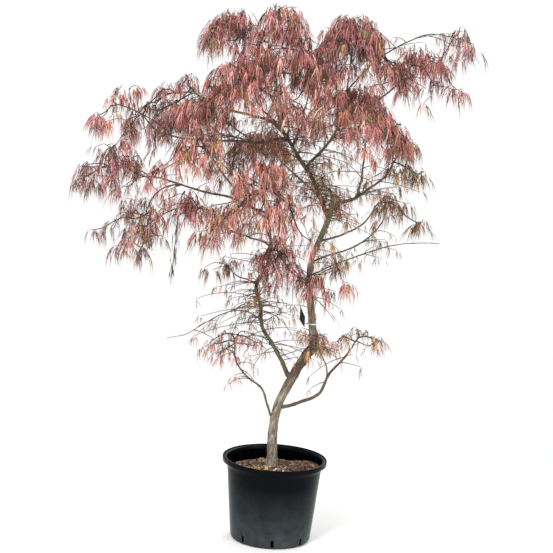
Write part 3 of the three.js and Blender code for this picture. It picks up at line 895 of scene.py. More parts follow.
def build_mulch(s):
    """A disc on a polar grid whose height is the mulch's, closed by a skirt and a floor."""
    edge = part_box("soil")[1].x
    radius = edge * np.sqrt(np.linspace(0.0004, 1, MULCH_RINGS))[:, None]
    turns = TURN * np.arange(MULCH_SIDES) / MULCH_SIDES
    surface = round_axis(radius, turns, 0.0)
    surface[..., 2] = mulch_height(surface, s)
    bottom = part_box("soil")[1].z - s.depth
    narrowed = 1 - TAPER * (s.depth - SKIRT) / edge
    skirt = surface[-1] * narrowed * LEVEL + UP * bottom
    grid = np.concatenate([surface, skirt[None]])
    skin = grid.reshape(-1, 3)
    index = np.arange(len(skin)).reshape(-1, MULCH_SIDES)
    ahead = np.roll(index, -1, axis=1)
    quads = strip_faces(index, ahead).reshape(-1, 4)
    centre = surface[0].mean(axis=0)
    places = np.concatenate([skin, [centre, [0, 0, bottom]]])
    top = np.stack([np.full(MULCH_SIDES, len(skin)), index[0], ahead[0]], -1)
    base = np.stack([np.full(MULCH_SIDES, len(skin) + 1), ahead[-1], index[-1]], -1)
    material = finish_of(composted_bark, "maple_mulch")
    piece = new_piece("potting_mix", places, [quads, top, base], [material])
    place_piece(piece, "potting_bark", "soil")


# Corners of a chip before it is broken, and its six faces, wound to face out.
BLOCK = np.array([[x, y, z] for x in (-1, 1) for y in (-1, 1) for z in (-1, 1)], float)
BLOCK_FACES = np.array(
    [[0, 1, 3, 2], [4, 6, 7, 5], [0, 4, 5, 1], [2, 3, 7, 6], [0, 2, 6, 4], [1, 5, 7, 3]]
)

# What the chips are, with the setting that each takes its colour from.
CHIP_KINDS = {
    "weathered_bark_chip": "tan",
    "damp_bark_chip": "brown",
    "fresh_bark_chip": "red",
    "wet_bark_chip": "dark",
    "split_wood_chip": "pale",
    "perlite_grain": "white",
}
# How common each kind is, and what the ruddy side, the straw and the grit add to that.
CHIP_ODDS = (
    (0.40, 0.26, 0.04, 0.26, 0.04, 0.0),
    (-0.24, 0.0, 0.20, 0.0, 0.0, 0.0),
    (0.0, 0.0, 0.0, 0.0, 0.8, 0.0),
    (0.0, 0.0, 0.0, 0.0, 0.0, 0.3),
)
RUDDY = (-0.03, 0.06)  # where the mix turns ruddy, along X
STRAW = (-0.052, -0.065, 0.03, 0.05)  # middle and half size of a patch, along X and Y
GRIT = (0.025, -0.070, 0.04, 0.05)
CHIP_SIZES = (0.3, 2.0)  # the least and the most, in lengths of a middling chip
CHIP_WIDTHS = (0.3, 0.6)  # in its own lengths
CHIP_THICKNESSES = (0.12, 0.26)
CHIP_BREAKS = (0.62, 1.12)  # where a corner ends up, as a share of the block's
CHIP_TILT = 0.38
CHIP_PILE = 1.6  # how high the uppermost chips lie, in their own half thicknesses


def patch_share(x, y, patch):
    """1 in the middle of a patch, falling off as exp(-(x / size)^2 - (y / size)^2)."""
    middle_x, middle_y, size_x, size_y = patch
    return np.exp(-(((x - middle_x) / size_x) ** 2) - ((y - middle_y) / size_y) ** 2)


def build_chips(s):
    """Broken blocks lying on the mulch: corner = centre + turned (half size x jittered corner
    of a block), where the turn is about a level axis by the tilt and then about Z."""
    rng = np.random.default_rng(11)
    size = s.chip * np.clip(rng.lognormal(-0.25, 0.42, s.chips), *CHIP_SIZES)
    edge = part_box("soil")[1].x - 0.003 - 0.65 * size
    radius = edge * np.sqrt(rng.uniform(0.03, 1.0, s.chips))
    spots = round_axis(radius, rng.uniform(0, TURN, s.chips), 0.0)
    wide = size * rng.uniform(*CHIP_WIDTHS, s.chips)
    thick = size * rng.uniform(*CHIP_THICKNESSES, s.chips)
    half = np.stack([size, wide, thick], 1) / 2
    corners = BLOCK[None] * half[:, None] * rng.uniform(*CHIP_BREAKS, (s.chips, 8, 3))
    tilt = rng.normal(0, CHIP_TILT, s.chips)[:, None]
    lengthwise = corners[..., 0] * np.cos(tilt) - corners[..., 2] * np.sin(tilt)
    raised = corners[..., 0] * np.sin(tilt) + corners[..., 2] * np.cos(tilt)
    facing = rng.uniform(0, TURN, s.chips)[:, None]
    across = corners[..., 1]
    chip_x = lengthwise * np.cos(facing) - across * np.sin(facing)
    chip_y = lengthwise * np.sin(facing) + across * np.cos(facing)
    ground = mulch_height(spots, s) + half[:, 2] * rng.uniform(0.0, CHIP_PILE, s.chips)
    spots[:, 2] = ground
    places = np.stack([chip_x, chip_y, raised], -1) + spots[:, None]
    faces = (BLOCK_FACES[None] + 8 * np.arange(s.chips)[:, None, None]).reshape(-1, 4)
    x, y = spots[:, 0], spots[:, 1]
    straw, grit = patch_share(x, y, STRAW), patch_share(x, y, GRIT)
    fields = (np.ones_like(x), smooth_step(*RUDDY, x), straw, grit)
    chances = sum(np.outer(field, odds) for field, odds in zip(fields, CHIP_ODDS))
    chances = np.cumsum(chances / chances.sum(1, keepdims=True), axis=1)
    kind = (rng.uniform(0, 1, s.chips)[:, None] > chances).sum(1)
    materials = [bark_chip(name, getattr(s, key)) for name, key in CHIP_KINDS.items()]
    finish = np.repeat(np.minimum(kind, len(CHIP_KINDS) - 1), len(BLOCK_FACES))
    piece = new_piece("bark_chips", places.reshape(-1, 3), [faces], materials, finish, False)
    place_piece(piece, "potting_bark")


# ------------------------------------------------------------------ trunk and boughs

TRUNK_SIDES = 72
TRUNK_STEP = 0.0024
BOUGH_SIDES = 20
SWAY = ((0.7, 0.055, 0), (0.3, 0.019, 5))
SWAY_HOLD = 0.03  # how far from either end a limb reaches its full sway
BURIED = 0.008  # how far down in the mix the trunk begins
FOOT_SWELLING = 1.04
FLARE_HEIGHT = 0.022  # over this height the foot's ribs fade
NECK_HEIGHT = 0.05  # and over this one its neck and its deeper cracks
ROUGH = (0.50, 0.56, 0.66, 0.70)  # heights where rough bark begins, is full, thins and ends
GRAFT = (0.668, 0.011, 0.0022)  # height, width and depth of the swelling at the graft
BARK_STRETCH = 6  # how much longer than wide the cracks are
CRACKS = ((1.0, 0.0042, 0), (0.6, 0.0021, 1))
BARK_LUMPS = ((1.0, 0.016, 0), (0.5, 0.008, 1))
WRINKLES = ((0.10, 0.011, 0), (0.07, 0.004, 1))
COLLAR = 0.016  # length of the swelling where a bough leaves its bearer
COLLAR_SWELLING = 0.32
JOINT_GAP, JOINT_RADII = 0.030, 1.6  # a bough's old joints: so far apart, and so many radii
JOINT_WIDTH = 0.09  # of the way from one joint to the next


def strayed(path, amount, seed):
    """The path with two sizes of side-to-side wander, none of it at either end."""
    away = np.arange(len(path)) * PATH_STEP
    hold = smooth_step(0, SWAY_HOLD, away) * smooth_step(0, SWAY_HOLD, away[-1] - away)
    at = away[:, None] * np.array([1, 0, 0])
    sway = [noises(at, seed + axis, SWAY) for axis in range(3)]
    return path + amount * hold[:, None] * np.stack(sway, axis=1)


def resampled(path, radii, step):
    """The same limb with its stations a new step apart."""
    at = measured(path)[1]
    where = np.linspace(0, at[-1], max(4, round(at[-1] / step) + 1))
    places = np.stack([np.interp(where, at, path[:, axis]) for axis in range(3)], axis=1)
    return places, np.interp(where, at, radii), where


def build_trunk(s):
    """A ring carried up the trunk's line. Radius = the solid's radius, plus ribs at the foot
    that die away with height, plus cracks from noise drawn out along the trunk, deeper in
    the rough stretch under the graft."""
    path, radii = limbs()["trunk"]
    path = np.concatenate([[path[0] - BURIED * UP], path])
    radii = np.concatenate([[radii[0] * FOOT_SWELLING], radii])
    path, radii, along = resampled(path, radii, TRUNK_STEP)
    turns = TURN * np.arange(TRUNK_SIDES) / TRUNK_SIDES
    height = path[:, 2][:, None] - path[0, 2]
    ribs = 0.5 + 0.5 * np.cos(5 * turns + 1.1 * np.sin(2 * turns + 0.6))
    flare = s.flare * np.exp(-height / FLARE_HEIGHT) * ribs
    radii = radii * (1 - s.neck * np.exp(-((height[:, 0] / NECK_HEIGHT) ** 2)))
    drawn_out = round_axis(radii[:, None], turns, along[:, None] / BARK_STRETCH)
    plain = round_axis(radii[:, None], turns, along[:, None])
    z = path[:, 2][:, None]
    rough = smooth_step(*ROUGH[:2], z) * (1 - smooth_step(*ROUGH[2:], z))
    depth = s.fissure * (0.5 + 0.9 * rough + 0.5 * np.exp(-height / NECK_HEIGHT))
    lump = s.fissure * (0.5 + 0.7 * rough)
    ripple = depth * noises(drawn_out, 21, CRACKS) + lump * noises(plain, 23, BARK_LUMPS)
    graft, wide, deep = GRAFT
    collar = deep * np.exp(-(((z - graft) / wide) ** 2))
    relief = (flare + ripple + collar)[None]
    places, faces, grain = sweep(path[None], radii[None], TRUNK_SIDES, relief)
    finish = np.concatenate([np.zeros(len(faces[0]) + TRUNK_SIDES), np.ones(TRUNK_SIDES)])
    materials = [finish_of(trunk_bark, "maple_wood"), finish_of(cut_wood, "maple_wood")]
    piece = new_piece("trunk_wood", places, faces, materials, finish, grain=grain)
    place_piece(piece, "trunk_bark", "trunk")


def build_bough(node, s, seed):
    """A ring carried along the bough's line. Radius = the solid's radius, a collar where it
    leaves its bearer, a knuckle at each old joint and shallow wrinkles."""
    path, radii = limbs()[node]
    path = strayed(path, s.wander, 10 * seed)
    away = np.arange(len(path)) * PATH_STEP
    collar = 1 + COLLAR_SWELLING * np.exp(-np.maximum(away - radii[0], 0) / COLLAR)
    joints = np.abs(np.mod(away / (JOINT_GAP + JOINT_RADII * radii[0]), 1) - 0.5)
    knuckle = 1 + s.knuckle * np.exp(-((joints / JOINT_WIDTH) ** 2))
    size = radii * collar * knuckle
    turns = TURN * np.arange(BOUGH_SIDES) / BOUGH_SIDES
    plain = round_axis(radii[:, None], turns, away[:, None])
    wrinkles = radii[:, None] * noises(plain, seed, WRINKLES)
    places, faces, grain = sweep(path[None], size[None], BOUGH_SIDES, wrinkles[None])
    dead = node == "dead_shoot"
    material = finish_of(withered_wood if dead else bough_bark, "maple_wood")
    piece = new_piece(node + "_wood", places, faces, [material], grain=grain)
    place_piece(piece, "dead_wood" if dead else "bough_bark", node)


# ------------------------------------------------------------------ growth


LEAST_ROOM = (0.10, 0.35)  # how much of a leaf's length under a spray has to be in the mass
LOOK_EVERY = 3  # stations of a limb, in the search for the one nearest to a mass
TIP_STATIONS = 5  # of a limb's line, that give the heading of its tip
TIP_REACH = 0.012  # a limb ends in a mass when its tip is nearer than this to the skin
FEEDER_GIRTH = 0.002  # the most, where a twig starts from the side of a limb
MOST_ROUNDS = 60
PATIENCE = 3  # rounds without getting nearer, after which a goal is given up
OWN_HEADING = 0.55  # how strongly a twig keeps its heading, beside the pull of its goals
TWIG_SWAY = 0.16
TWIG_WEIGHT = 0.10
FORK_SHARE = 0.3  # of a tip's area, that a joint adds to its children's
TWIG_STATIONS = 9
TWIG_SIDES = 5
TWIG_FINENESS = 0.001
FORK_SWELLING = 1.15  # the most, of a twig's own radius, where it leaves its bearer


def inside(places, triangles):
    """Whether each place is inside the closed skin. The solid angle that the skin fills as
    seen from the place, over a whole turn, is 1 inside and 0 outside (van Oosterom and
    Strackee)."""
    a, b, c = (triangles[None, :, i] - places[:, None] for i in range(3))
    far_a, far_b, far_c = (np.linalg.norm(side, axis=2) for side in (a, b, c))
    top = np.einsum("ptk,ptk->pt", a, np.cross(b, c))
    ab, bc, ca = (np.einsum("ptk,ptk->pt", p, q) for p, q in ((a, b), (b, c), (c, a)))
    bottom = far_a * far_b * far_c + ab * far_c + bc * far_a + ca * far_b
    return np.arctan2(top, bottom).sum(axis=1) / TURN > 0.5


@functools.cache
def mass_middles():
    """The middle of every mass of foliage."""
    names = [entry["node"] for entry in frame["record"]["subparts"]]
    masses = [name for name in names if name.startswith("leaves_")]
    return {name: triangles_of(name).mean(axis=(0, 1)) for name in masses}


@functools.cache
def crown_box():
    """The lowest and the highest corner of all the masses together."""
    skins = np.concatenate([triangles_of(name).reshape(-1, 3) for name in mass_middles()])
    return skins.min(axis=0), skins.max(axis=0)


def spray_places(node, triangles, fullness, s, rng):
    """Places spread evenly, with some scatter: those in the part of the mass that has room
    for a hanging leaf below, and a share of those just outside its lower half and near the
    middle of a neighbour, unless the mass is compact. None is taken that would hide the dead
    shoot or that lies at the very edge of the crown. Of the rest the fullness is kept, where
    a noise is highest, which leaves the mass in clumps with gaps between them."""
    spacing = s.spacing
    skin = triangles.reshape(-1, 3)
    low, high = skin.min(0) - s.outreach, skin.max(0) + s.outreach
    axes = [np.arange(low[i] + spacing / 3, high[i], spacing) for i in range(3)]
    places = np.stack(np.meshgrid(*axes, indexing="ij"), -1).reshape(-1, 3)
    places = places + rng.uniform(-0.5, 0.5, places.shape) * spacing
    under = [places - part * s.size * UP for part in LEAST_ROOM]
    room = inside(under[0], triangles) & inside(under[1], triangles)
    centre = mass_middles()[node]
    away = places - centre
    pulled_in = centre + away * (1 - s.outreach / np.linalg.norm(away, axis=1, keepdims=True))
    others = np.array([middle for name, middle in mass_middles().items() if name != node])
    beside = np.linalg.norm(places[:, None] - others, axis=2).min(axis=1) < s.neighbour
    below = (places[:, 2] < centre[2]) & (centre[2] > s.low)
    near = inside(pulled_in, triangles) & beside & below
    near &= node not in COMPACT
    places = places[room | (near & (rng.uniform(size=len(places)) < s.scatter))]
    dead = limbs()["dead_shoot"][0]
    hiding = np.abs(places[:, 0] - dead[:, 0].mean()) < s.clear
    hiding &= places[:, 2] < dead[0, 2] + s.clear
    low, high = crown_box()
    within = ((places > low + s.inset) & (places < high - s.inset)).all(axis=1)
    places = places[within & ~hiding]
    bumps = noise(places, s.clump, 31) + s.loose * rng.uniform(-1, 1, len(places))
    return places[bumps >= np.quantile(bumps, 1 - fullness)]


def feeders(triangles):
    """Where twigs may start: the tips of the limbs that end in this mass or, if none does,
    the place nearest to it on any limb."""
    skin = np.concatenate([triangles.reshape(-1, 3), triangles.mean(axis=1)])
    starts, headings, sizes = [], [], []
    closest = None
    for name, (path, radii) in limbs().items():
        if name in ("dead_shoot", "trunk"):
            continue
        gaps = np.linalg.norm(path[::LOOK_EVERY, None] - skin[None], axis=2).min(axis=1)
        tip = np.linalg.norm(path[-1] - skin, axis=1).min()
        if tip < TIP_REACH:
            starts.append(path[-1])
            headings.append(unit(path[-1] - path[-TIP_STATIONS]))
            sizes.append(radii[-1])
        here = int(np.argmin(gaps)) * LOOK_EVERY
        if closest is None or gaps.min() < closest[0]:
            closest = (gaps.min(), path[here], radii[here])
    if not starts:
        middle = triangles.reshape(-1, 3).mean(axis=0)
        starts = [closest[1]]
        headings = [unit(middle - closest[1])]
        sizes = [min(closest[2], FEEDER_GIRTH)]
    return np.array(starts), np.array(headings), np.array(sizes)


def grow(starts, headings, goals, step, reach, rng):
    """The branching rule. Each goal pulls the twig end or joint that is nearest to it, and
    each one that is pulled puts out a new joint a step away, in the mean direction of its
    goals, kept partly to its own heading and bent down by its weight. A goal is used up when
    a joint comes within reach. Returns joints, parents, generations and headings."""
    places = starts.copy()
    parents = np.full(len(starts), -1)
    generation = np.zeros(len(starts), int)
    facing = headings.copy()
    wasted = np.zeros(len(goals), int)
    for age in range(1, MOST_ROUNDS):
        toward = goals[:, None] - places[None]
        apart = np.linalg.norm(toward, axis=2)
        far = (apart.min(axis=1) > reach) & (wasted < PATIENCE)
        goals, wasted, toward, apart = goals[far], wasted[far], toward[far], apart[far]
        if not len(goals):
            break
        nearest = apart.argmin(axis=1)
        pull = np.zeros_like(places)
        np.add.at(pull, nearest, unit(toward[np.arange(len(goals)), nearest]))
        pulled = np.unique(nearest)
        sway = rng.normal(0, TWIG_SWAY, (len(pulled), 3))
        way = unit(pull[pulled]) + OWN_HEADING * facing[pulled] + sway
        way = unit(way - TWIG_WEIGHT * UP)
        added = places[pulled] + step * way
        left = np.linalg.norm(goals[:, None] - added[None], axis=2).min(axis=1)
        wasted = wasted + (left >= apart.min(axis=1))
        places = np.concatenate([places, added])
        parents = np.concatenate([parents, pulled])
        generation = np.concatenate([generation, np.full(len(pulled), age)])
        facing = np.concatenate([facing, way])
    return places, parents, generation, facing


def twig_girths(parents, generation, thinnest, limits):
    """Radii by the pipe rule: a joint's area is the sum of its children's, with a thinnest
    tip, limited to the radius of the limb it grows from."""
    area = np.full(len(parents), thinnest**2)
    has_child = np.isin(np.arange(len(parents)), parents)
    area[has_child] = FORK_SHARE * thinnest**2
    for age in range(generation.max(), 0, -1):
        these = np.flatnonzero(generation == age)
        np.add.at(area, parents[these], area[these])
    return np.minimum(np.sqrt(area), limits.max())


def twig_lines(parents, radii):
    """Splits the tree of joints into lines: each goes on through the thickest child, and the
    other children start lines of their own."""
    children = {}
    for child in np.argsort(radii)[::-1]:
        children.setdefault(int(parents[child]), []).append(int(child))
    heads = [(None, root) for root in children.get(-1, [])]
    lines = []
    while heads:
        bearer, joint = heads.pop()
        line = [] if bearer is None else [bearer]
        while joint is not None:
            line.append(joint)
            following = children.get(joint, [])
            heads += [(joint, other) for other in following[1:]]
            joint = following[0] if following else None
        if len(line) > 1:
            lines.append(line)
    return lines


def twig_tubes(lines, places, radii):
    """Places and faces of all the lines, each evened out to the same number of stations."""
    paths, sizes = [], []
    for line in lines:
        path, where, at = smooth_path(places[line], TWIG_FINENESS)
        picked = np.linspace(0, len(path) - 1, TWIG_STATIONS).astype(int)
        girth = np.interp(where[picked], at, radii[line])
        girth[0] = min(girth[0], radii[line[1]] * FORK_SWELLING)
        paths.append(path[picked])
        sizes.append(girth)
    return sweep(np.array(paths), np.array(sizes), TWIG_SIDES)


# ------------------------------------------------------------------ leaves

LOBES = np.arange(-3, 4)
LOBE_STATIONS = np.array([0.0, 0.22, 0.36, 0.55, 0.72, 1.0])
LOBE_WIDTHS = np.array([0.18, 1.0, 0.5, 1.05, 0.48, 0.04])
PETIOLE = 0.26  # length of the stalk, as a share of the leaf's
PETIOLE_STATIONS = 3
PETIOLE_WIDTH = 0.001
STALK_RISES = (-0.5, 0.35)
LEAF_DIPS = (-82, -22)  # degrees from the level to a leaf's middle line
LEAF_SPREADS = (0.5, 1.2)  # of the setting
LOBE_BEND = 0.12
LOBE_DROOPS = (0.72, 1.15)  # of the setting
DROOP_POWER = 0.8
LOBE_SWAY = 0.22
OUTER_LOSS, LOSS_POWER = 0.48, 1.7  # how much shorter the outermost lobes are
LOBE_LENGTHS = (0.82, 1.1)  # of a lobe's usual length
LOBE_TURN, LOBE_TWIST = 0.35, 0.7  # of a lobe at its foot, and on to its tip
# The last of these is the share of the differing lobes that turn dark umber, as painted shade
# between the leaves.
OTHER_LEAF, OTHER_LOBE, PAINTED_SHADE_LOBE = 0.33, 0.5, 0.30  # chances of a tint of their own
PAIR_GAP = 0.009
PAIR_SWAY = 0.25
PAIR_TURNS = (0.3, 1.7)  # from the twig's way to the leaf's
LEAF_SIZES = (0.6, 1.15)  # of the setting


def leaf_blades(feet, outward, sizes, s, rng, openness=1.0):
    """Seven toothed strips from the end of a stalk, for many leaves at once.

    A lobe leaves at its share of the spread, and at t along it points the way
    (1 - g) start + g down, where g is droop x t^power, so it arches over and hangs. Its edges
    stand out to both sides by a width that goes in and out twice, for its teeth, along
    a direction that twists about the lobe."""
    total, lobes_each = len(feet), (len(feet), len(LOBES))
    dip = np.radians(rng.uniform(*LEAF_DIPS, total))[:, None]
    axis = unit(outward * np.cos(dip) + UP * np.sin(dip))
    side = unit(np.cross(UP, outward))
    stalk = unit(outward + UP * rng.uniform(*STALK_RISES, total)[:, None])
    reach = PETIOLE * sizes[:, None]
    base = feet + reach * unit(stalk + 0.6 * axis)
    middle = feet + 0.55 * reach * stalk
    stalk_line = np.stack([feet, middle, base], axis=1)
    stalk_side = side[:, None] * PETIOLE_WIDTH / 2
    stalk_places = np.stack([stalk_line - stalk_side, stalk_line + stalk_side], axis=2)
    bend = rng.normal(0, LOBE_BEND, lobes_each)
    spread = s.spread * openness * rng.uniform(*LEAF_SPREADS, (total, 1))
    fan = (spread * LOBES / LOBES[-1] + bend)[..., None]
    start = axis[:, None] * np.cos(fan) + side[:, None] * np.sin(fan)
    droop = s.droop * rng.uniform(*LOBE_DROOPS, lobes_each)
    pull = np.clip(droop[..., None] * LOBE_STATIONS**DROOP_POWER, 0, 0.97)[..., None]
    sway = rng.normal(0, LOBE_SWAY, (*lobes_each, 1, 1)) * LOBE_STATIONS[:, None]
    way = unit(start[:, :, None] * (1 - pull) - UP * pull + side[:, None, None] * sway)
    lengths = sizes[:, None] * (1 - OUTER_LOSS * (np.abs(LOBES) / LOBES[-1]) ** LOSS_POWER)
    lengths = lengths * rng.uniform(*LOBE_LENGTHS, lobes_each)
    steps = np.diff(LOBE_STATIONS, prepend=0)[:, None] * lengths[:, :, None, None]
    line = base[:, None, None] + np.cumsum(way * steps, axis=2)
    face = unit(outward + 0.8 * UP)[:, None, None]
    across = unit(np.cross(face, way))
    twist = rng.normal(0, LOBE_TURN, (*lobes_each, 1, 1))
    curl = s.curl * rng.normal(0, LOBE_TWIST, (*lobes_each, 1, 1))
    twist = twist + curl * LOBE_STATIONS[:, None]
    across = across * np.cos(twist) + np.cross(way, across) * np.sin(twist)
    half = s.lobe / 2 * LOBE_WIDTHS[:, None] * (sizes[:, None, None, None] / s.size)
    lobes = np.stack([line - across * half, line + across * half], axis=3)
    places = np.concatenate([lobes.reshape(total, -1, 3), stalk_places.reshape(total, -1, 3)], 1)
    return places.reshape(-1, 3)


def leaf_faces(total):
    """The quads of many leaves, and how many of them a lobe and a stalk have."""
    strip = np.arange(2 * len(LOBE_STATIONS)).reshape(-1, 2)
    lobe = strip_faces(strip[:, 0], strip[:, 1])
    lobes = lobe + strip.size * np.arange(len(LOBES))[:, None, None]
    strip = strip.size * len(LOBES) + np.arange(2 * PETIOLE_STATIONS).reshape(-1, 2)
    stalk = strip_faces(strip[:, 0], strip[:, 1])
    leaf = np.concatenate([lobes.reshape(-1, 4), stalk])
    quads = (leaf[None] + (leaf.max() + 1) * np.arange(total)[:, None, None]).reshape(-1, 4)
    return quads, len(lobe), len(stalk)


def dealt_tints(sprays, mix, rng):
    """Draws a tint for each spray, and lets one leaf in three and half of the lobes differ.
    A third of those lobes are drawn dark umber, as painted shade between the leaves."""
    names = list(MIXES[mix])
    odds = np.array([MIXES[mix][name] for name in names], float)
    odds = odds / odds.sum()
    by_spray = rng.choice(len(names), sprays.max() + 1, p=odds)[sprays]
    other = rng.choice(len(names), len(sprays), p=odds)
    by_leaf = np.where(rng.uniform(size=len(sprays)) < OTHER_LEAF, other, by_spray)
    lobes_each = (len(sprays), len(LOBES))
    odd_lobe = rng.choice(len(names), lobes_each, p=odds)
    # Painted shade: these lobes turn dark umber to stand for the shadows between the leaves.
    shaded = rng.uniform(size=lobes_each) < PAINTED_SHADE_LOBE
    odd_lobe = np.where(shaded, names.index("umber"), odd_lobe)
    differs = rng.uniform(size=lobes_each) < OTHER_LOBE
    by_lobe = np.where(differs, odd_lobe, by_leaf[:, None])
    return names, by_leaf, by_lobe


def leafy_piece(name, leaves, mix, s, rng, nodes=(), openness=1.0, slot=None):
    """One joined mesh of leaves, each lobe with the material of its tint. It passes on the given
    slot, or else the one that goes with its mix, which is not used."""
    sprays, feet, outward, sizes = leaves
    places = leaf_blades(feet, outward, sizes, s, rng, openness)
    quads, lobe_faces, stalk_faces = leaf_faces(len(feet))
    names, by_leaf, by_lobe = dealt_tints(sprays, mix, rng)
    of_lobes = np.repeat(by_lobe, lobe_faces, axis=1)
    of_stalks = np.repeat(by_leaf[:, None], stalk_faces, axis=1)
    finish = np.concatenate([of_lobes, of_stalks], axis=1).ravel()
    materials = [leaf_tissue(tint) for tint in names]
    piece = new_piece(name, places, [quads], materials, finish)
    place_piece(piece, slot or SLOTS.get(mix, mix), *nodes)


def spray_feet(places, facing, leaves, rng):
    """Leaves of each spray: they leave the twig in pairs some millimetres apart, one to each
    side, at an angle that differs from leaf to leaf."""
    spray = np.repeat(np.arange(len(places)), leaves)
    order = np.concatenate([np.arange(n) for n in leaves]) if len(leaves) else np.zeros(0, int)
    along = facing[spray]
    feet = places[spray] - along * (PAIR_GAP * (order // 2)[:, None])
    level = unit(along * LEVEL + rng.normal(0, PAIR_SWAY, (len(spray), 3)) * LEVEL)
    turn = np.where(order % 2 == 0, 1, -1) * rng.uniform(*PAIR_TURNS, len(spray))
    turn = turn[:, None]
    sideways = np.cross(UP, level)
    outward = unit(level * np.cos(turn) + sideways * np.sin(turn))
    return spray, feet, outward


# How full a mass is. Thin growth shows most of its twigs.
USUAL_FULLNESS = 0.72
FULLNESS = {
    "leaves_top_left": 0.78,
    "leaves_top_middle": 0.85,
    "leaves_top_right": 1.0,
    "leaves_middle": 0.82,
    "leaves_right_lower": 0.14,
    "leaves_right_tip": 0.36,
    "leaves_right_high": 0.42,
    "leaves_right_front": 0.60,
    "leaves_right_middle": 0.25,
    "leaves_left_twig": 0.32,
    "leaves_trunk_right": 0.36,
    "leaves_foot_left": 0.9,
    "leaves_foot_right": 0.7,
    "leaves_foot_middle": 0.9,
    "leaves_left_far": 0.17,
    "leaves_left_hanging": 0.26,
    "leaves_left_lower": 0.50,
    "leaves_left_front": 0.58,
    "leaves_left_high": 0.30,
    "leaves_left_middle": 0.31,
    "leaves_centre_low": 0.9,
}

# Masses whose twigs don't stray.
COMPACT = ("leaves_top_left", "leaves_left_twig")

TWIG_REACH = 1.2  # how near a joint comes to a goal to use it up, in steps
THINNEST_TWIG = 0.00075
LEAFY_TWIG = 0.0013  # radius under which a joint may bear leaves
LEAFY_JOINTS = 0.10  # how many of such joints do, beside every twig's end
LOW_LEAF = 0.7  # size of a leaf in low growth

# The mix of tints of each mass that doesn't take the one named for its finish.
MIX_OF = {
    "leaves_top_left": "leaves_rose",
    "leaves_top_right": "leaves_rose",
    "leaves_right_high": "leaves_rose",
    "leaves_right_tip": "dusty",
    "leaves_front_top": "leaves_rust",
    "leaves_middle": "glowing",
    "leaves_left_front": "glowing",
    "leaves_left_middle": "dusty",
    "leaves_right_middle": "leaves_olive",
    "leaves_left_high": "dusty",
    "leaves_foot_middle": "golden",
    "leaves_foot_right": "golden",
    "leaves_trunk_right": "blushing",
}


def build_mass(node, slot, s, seed):
    """Grows twigs through one mass and hangs a spray of leaves on every twig's end and on
    some of its joints. Returns the number of leaves."""
    rng = np.random.default_rng(100 + seed)
    triangles = triangles_of(node)
    low_growth = mass_middles()[node][2] < s.low
    goals = spray_places(node, triangles, FULLNESS.get(node, USUAL_FULLNESS), s, rng)
    starts, headings, girths = feeders(triangles)
    reach = TWIG_REACH * s.step
    places, parents, generation, facing = grow(starts, headings, goals, s.step, reach, rng)
    radii = twig_girths(parents, generation, THINNEST_TWIG, girths)
    skin, faces, _ = twig_tubes(twig_lines(parents, radii), places, radii)
    name = node.removeprefix("leaves_")
    twigs = new_piece("twigs_" + name, skin, faces, [finish_of(twig_skin, "maple_wood")])
    place_piece(twigs, "bough_bark", node)
    tips = ~np.isin(np.arange(len(places)), parents)
    outer = (radii < LEAFY_TWIG) & (rng.uniform(size=len(places)) < LEAFY_JOINTS)
    bearing = np.flatnonzero((tips | outer) & (generation > 1))
    fewest, most = (1, 3) if low_growth else (3, s.spray)
    numbers = rng.integers(fewest, most + 1, len(bearing))
    spray, feet, outward = spray_feet(places[bearing], facing[bearing], numbers, rng)
    sizes = s.size * (LOW_LEAF if low_growth else 1.0) * rng.uniform(*LEAF_SIZES, len(feet))
    leaves = (spray, feet, outward, sizes)
    leafy_piece("foliage_" + name, leaves, MIX_OF.get(node, slot), s, rng, [node], slot=slot)
    return len(feet)


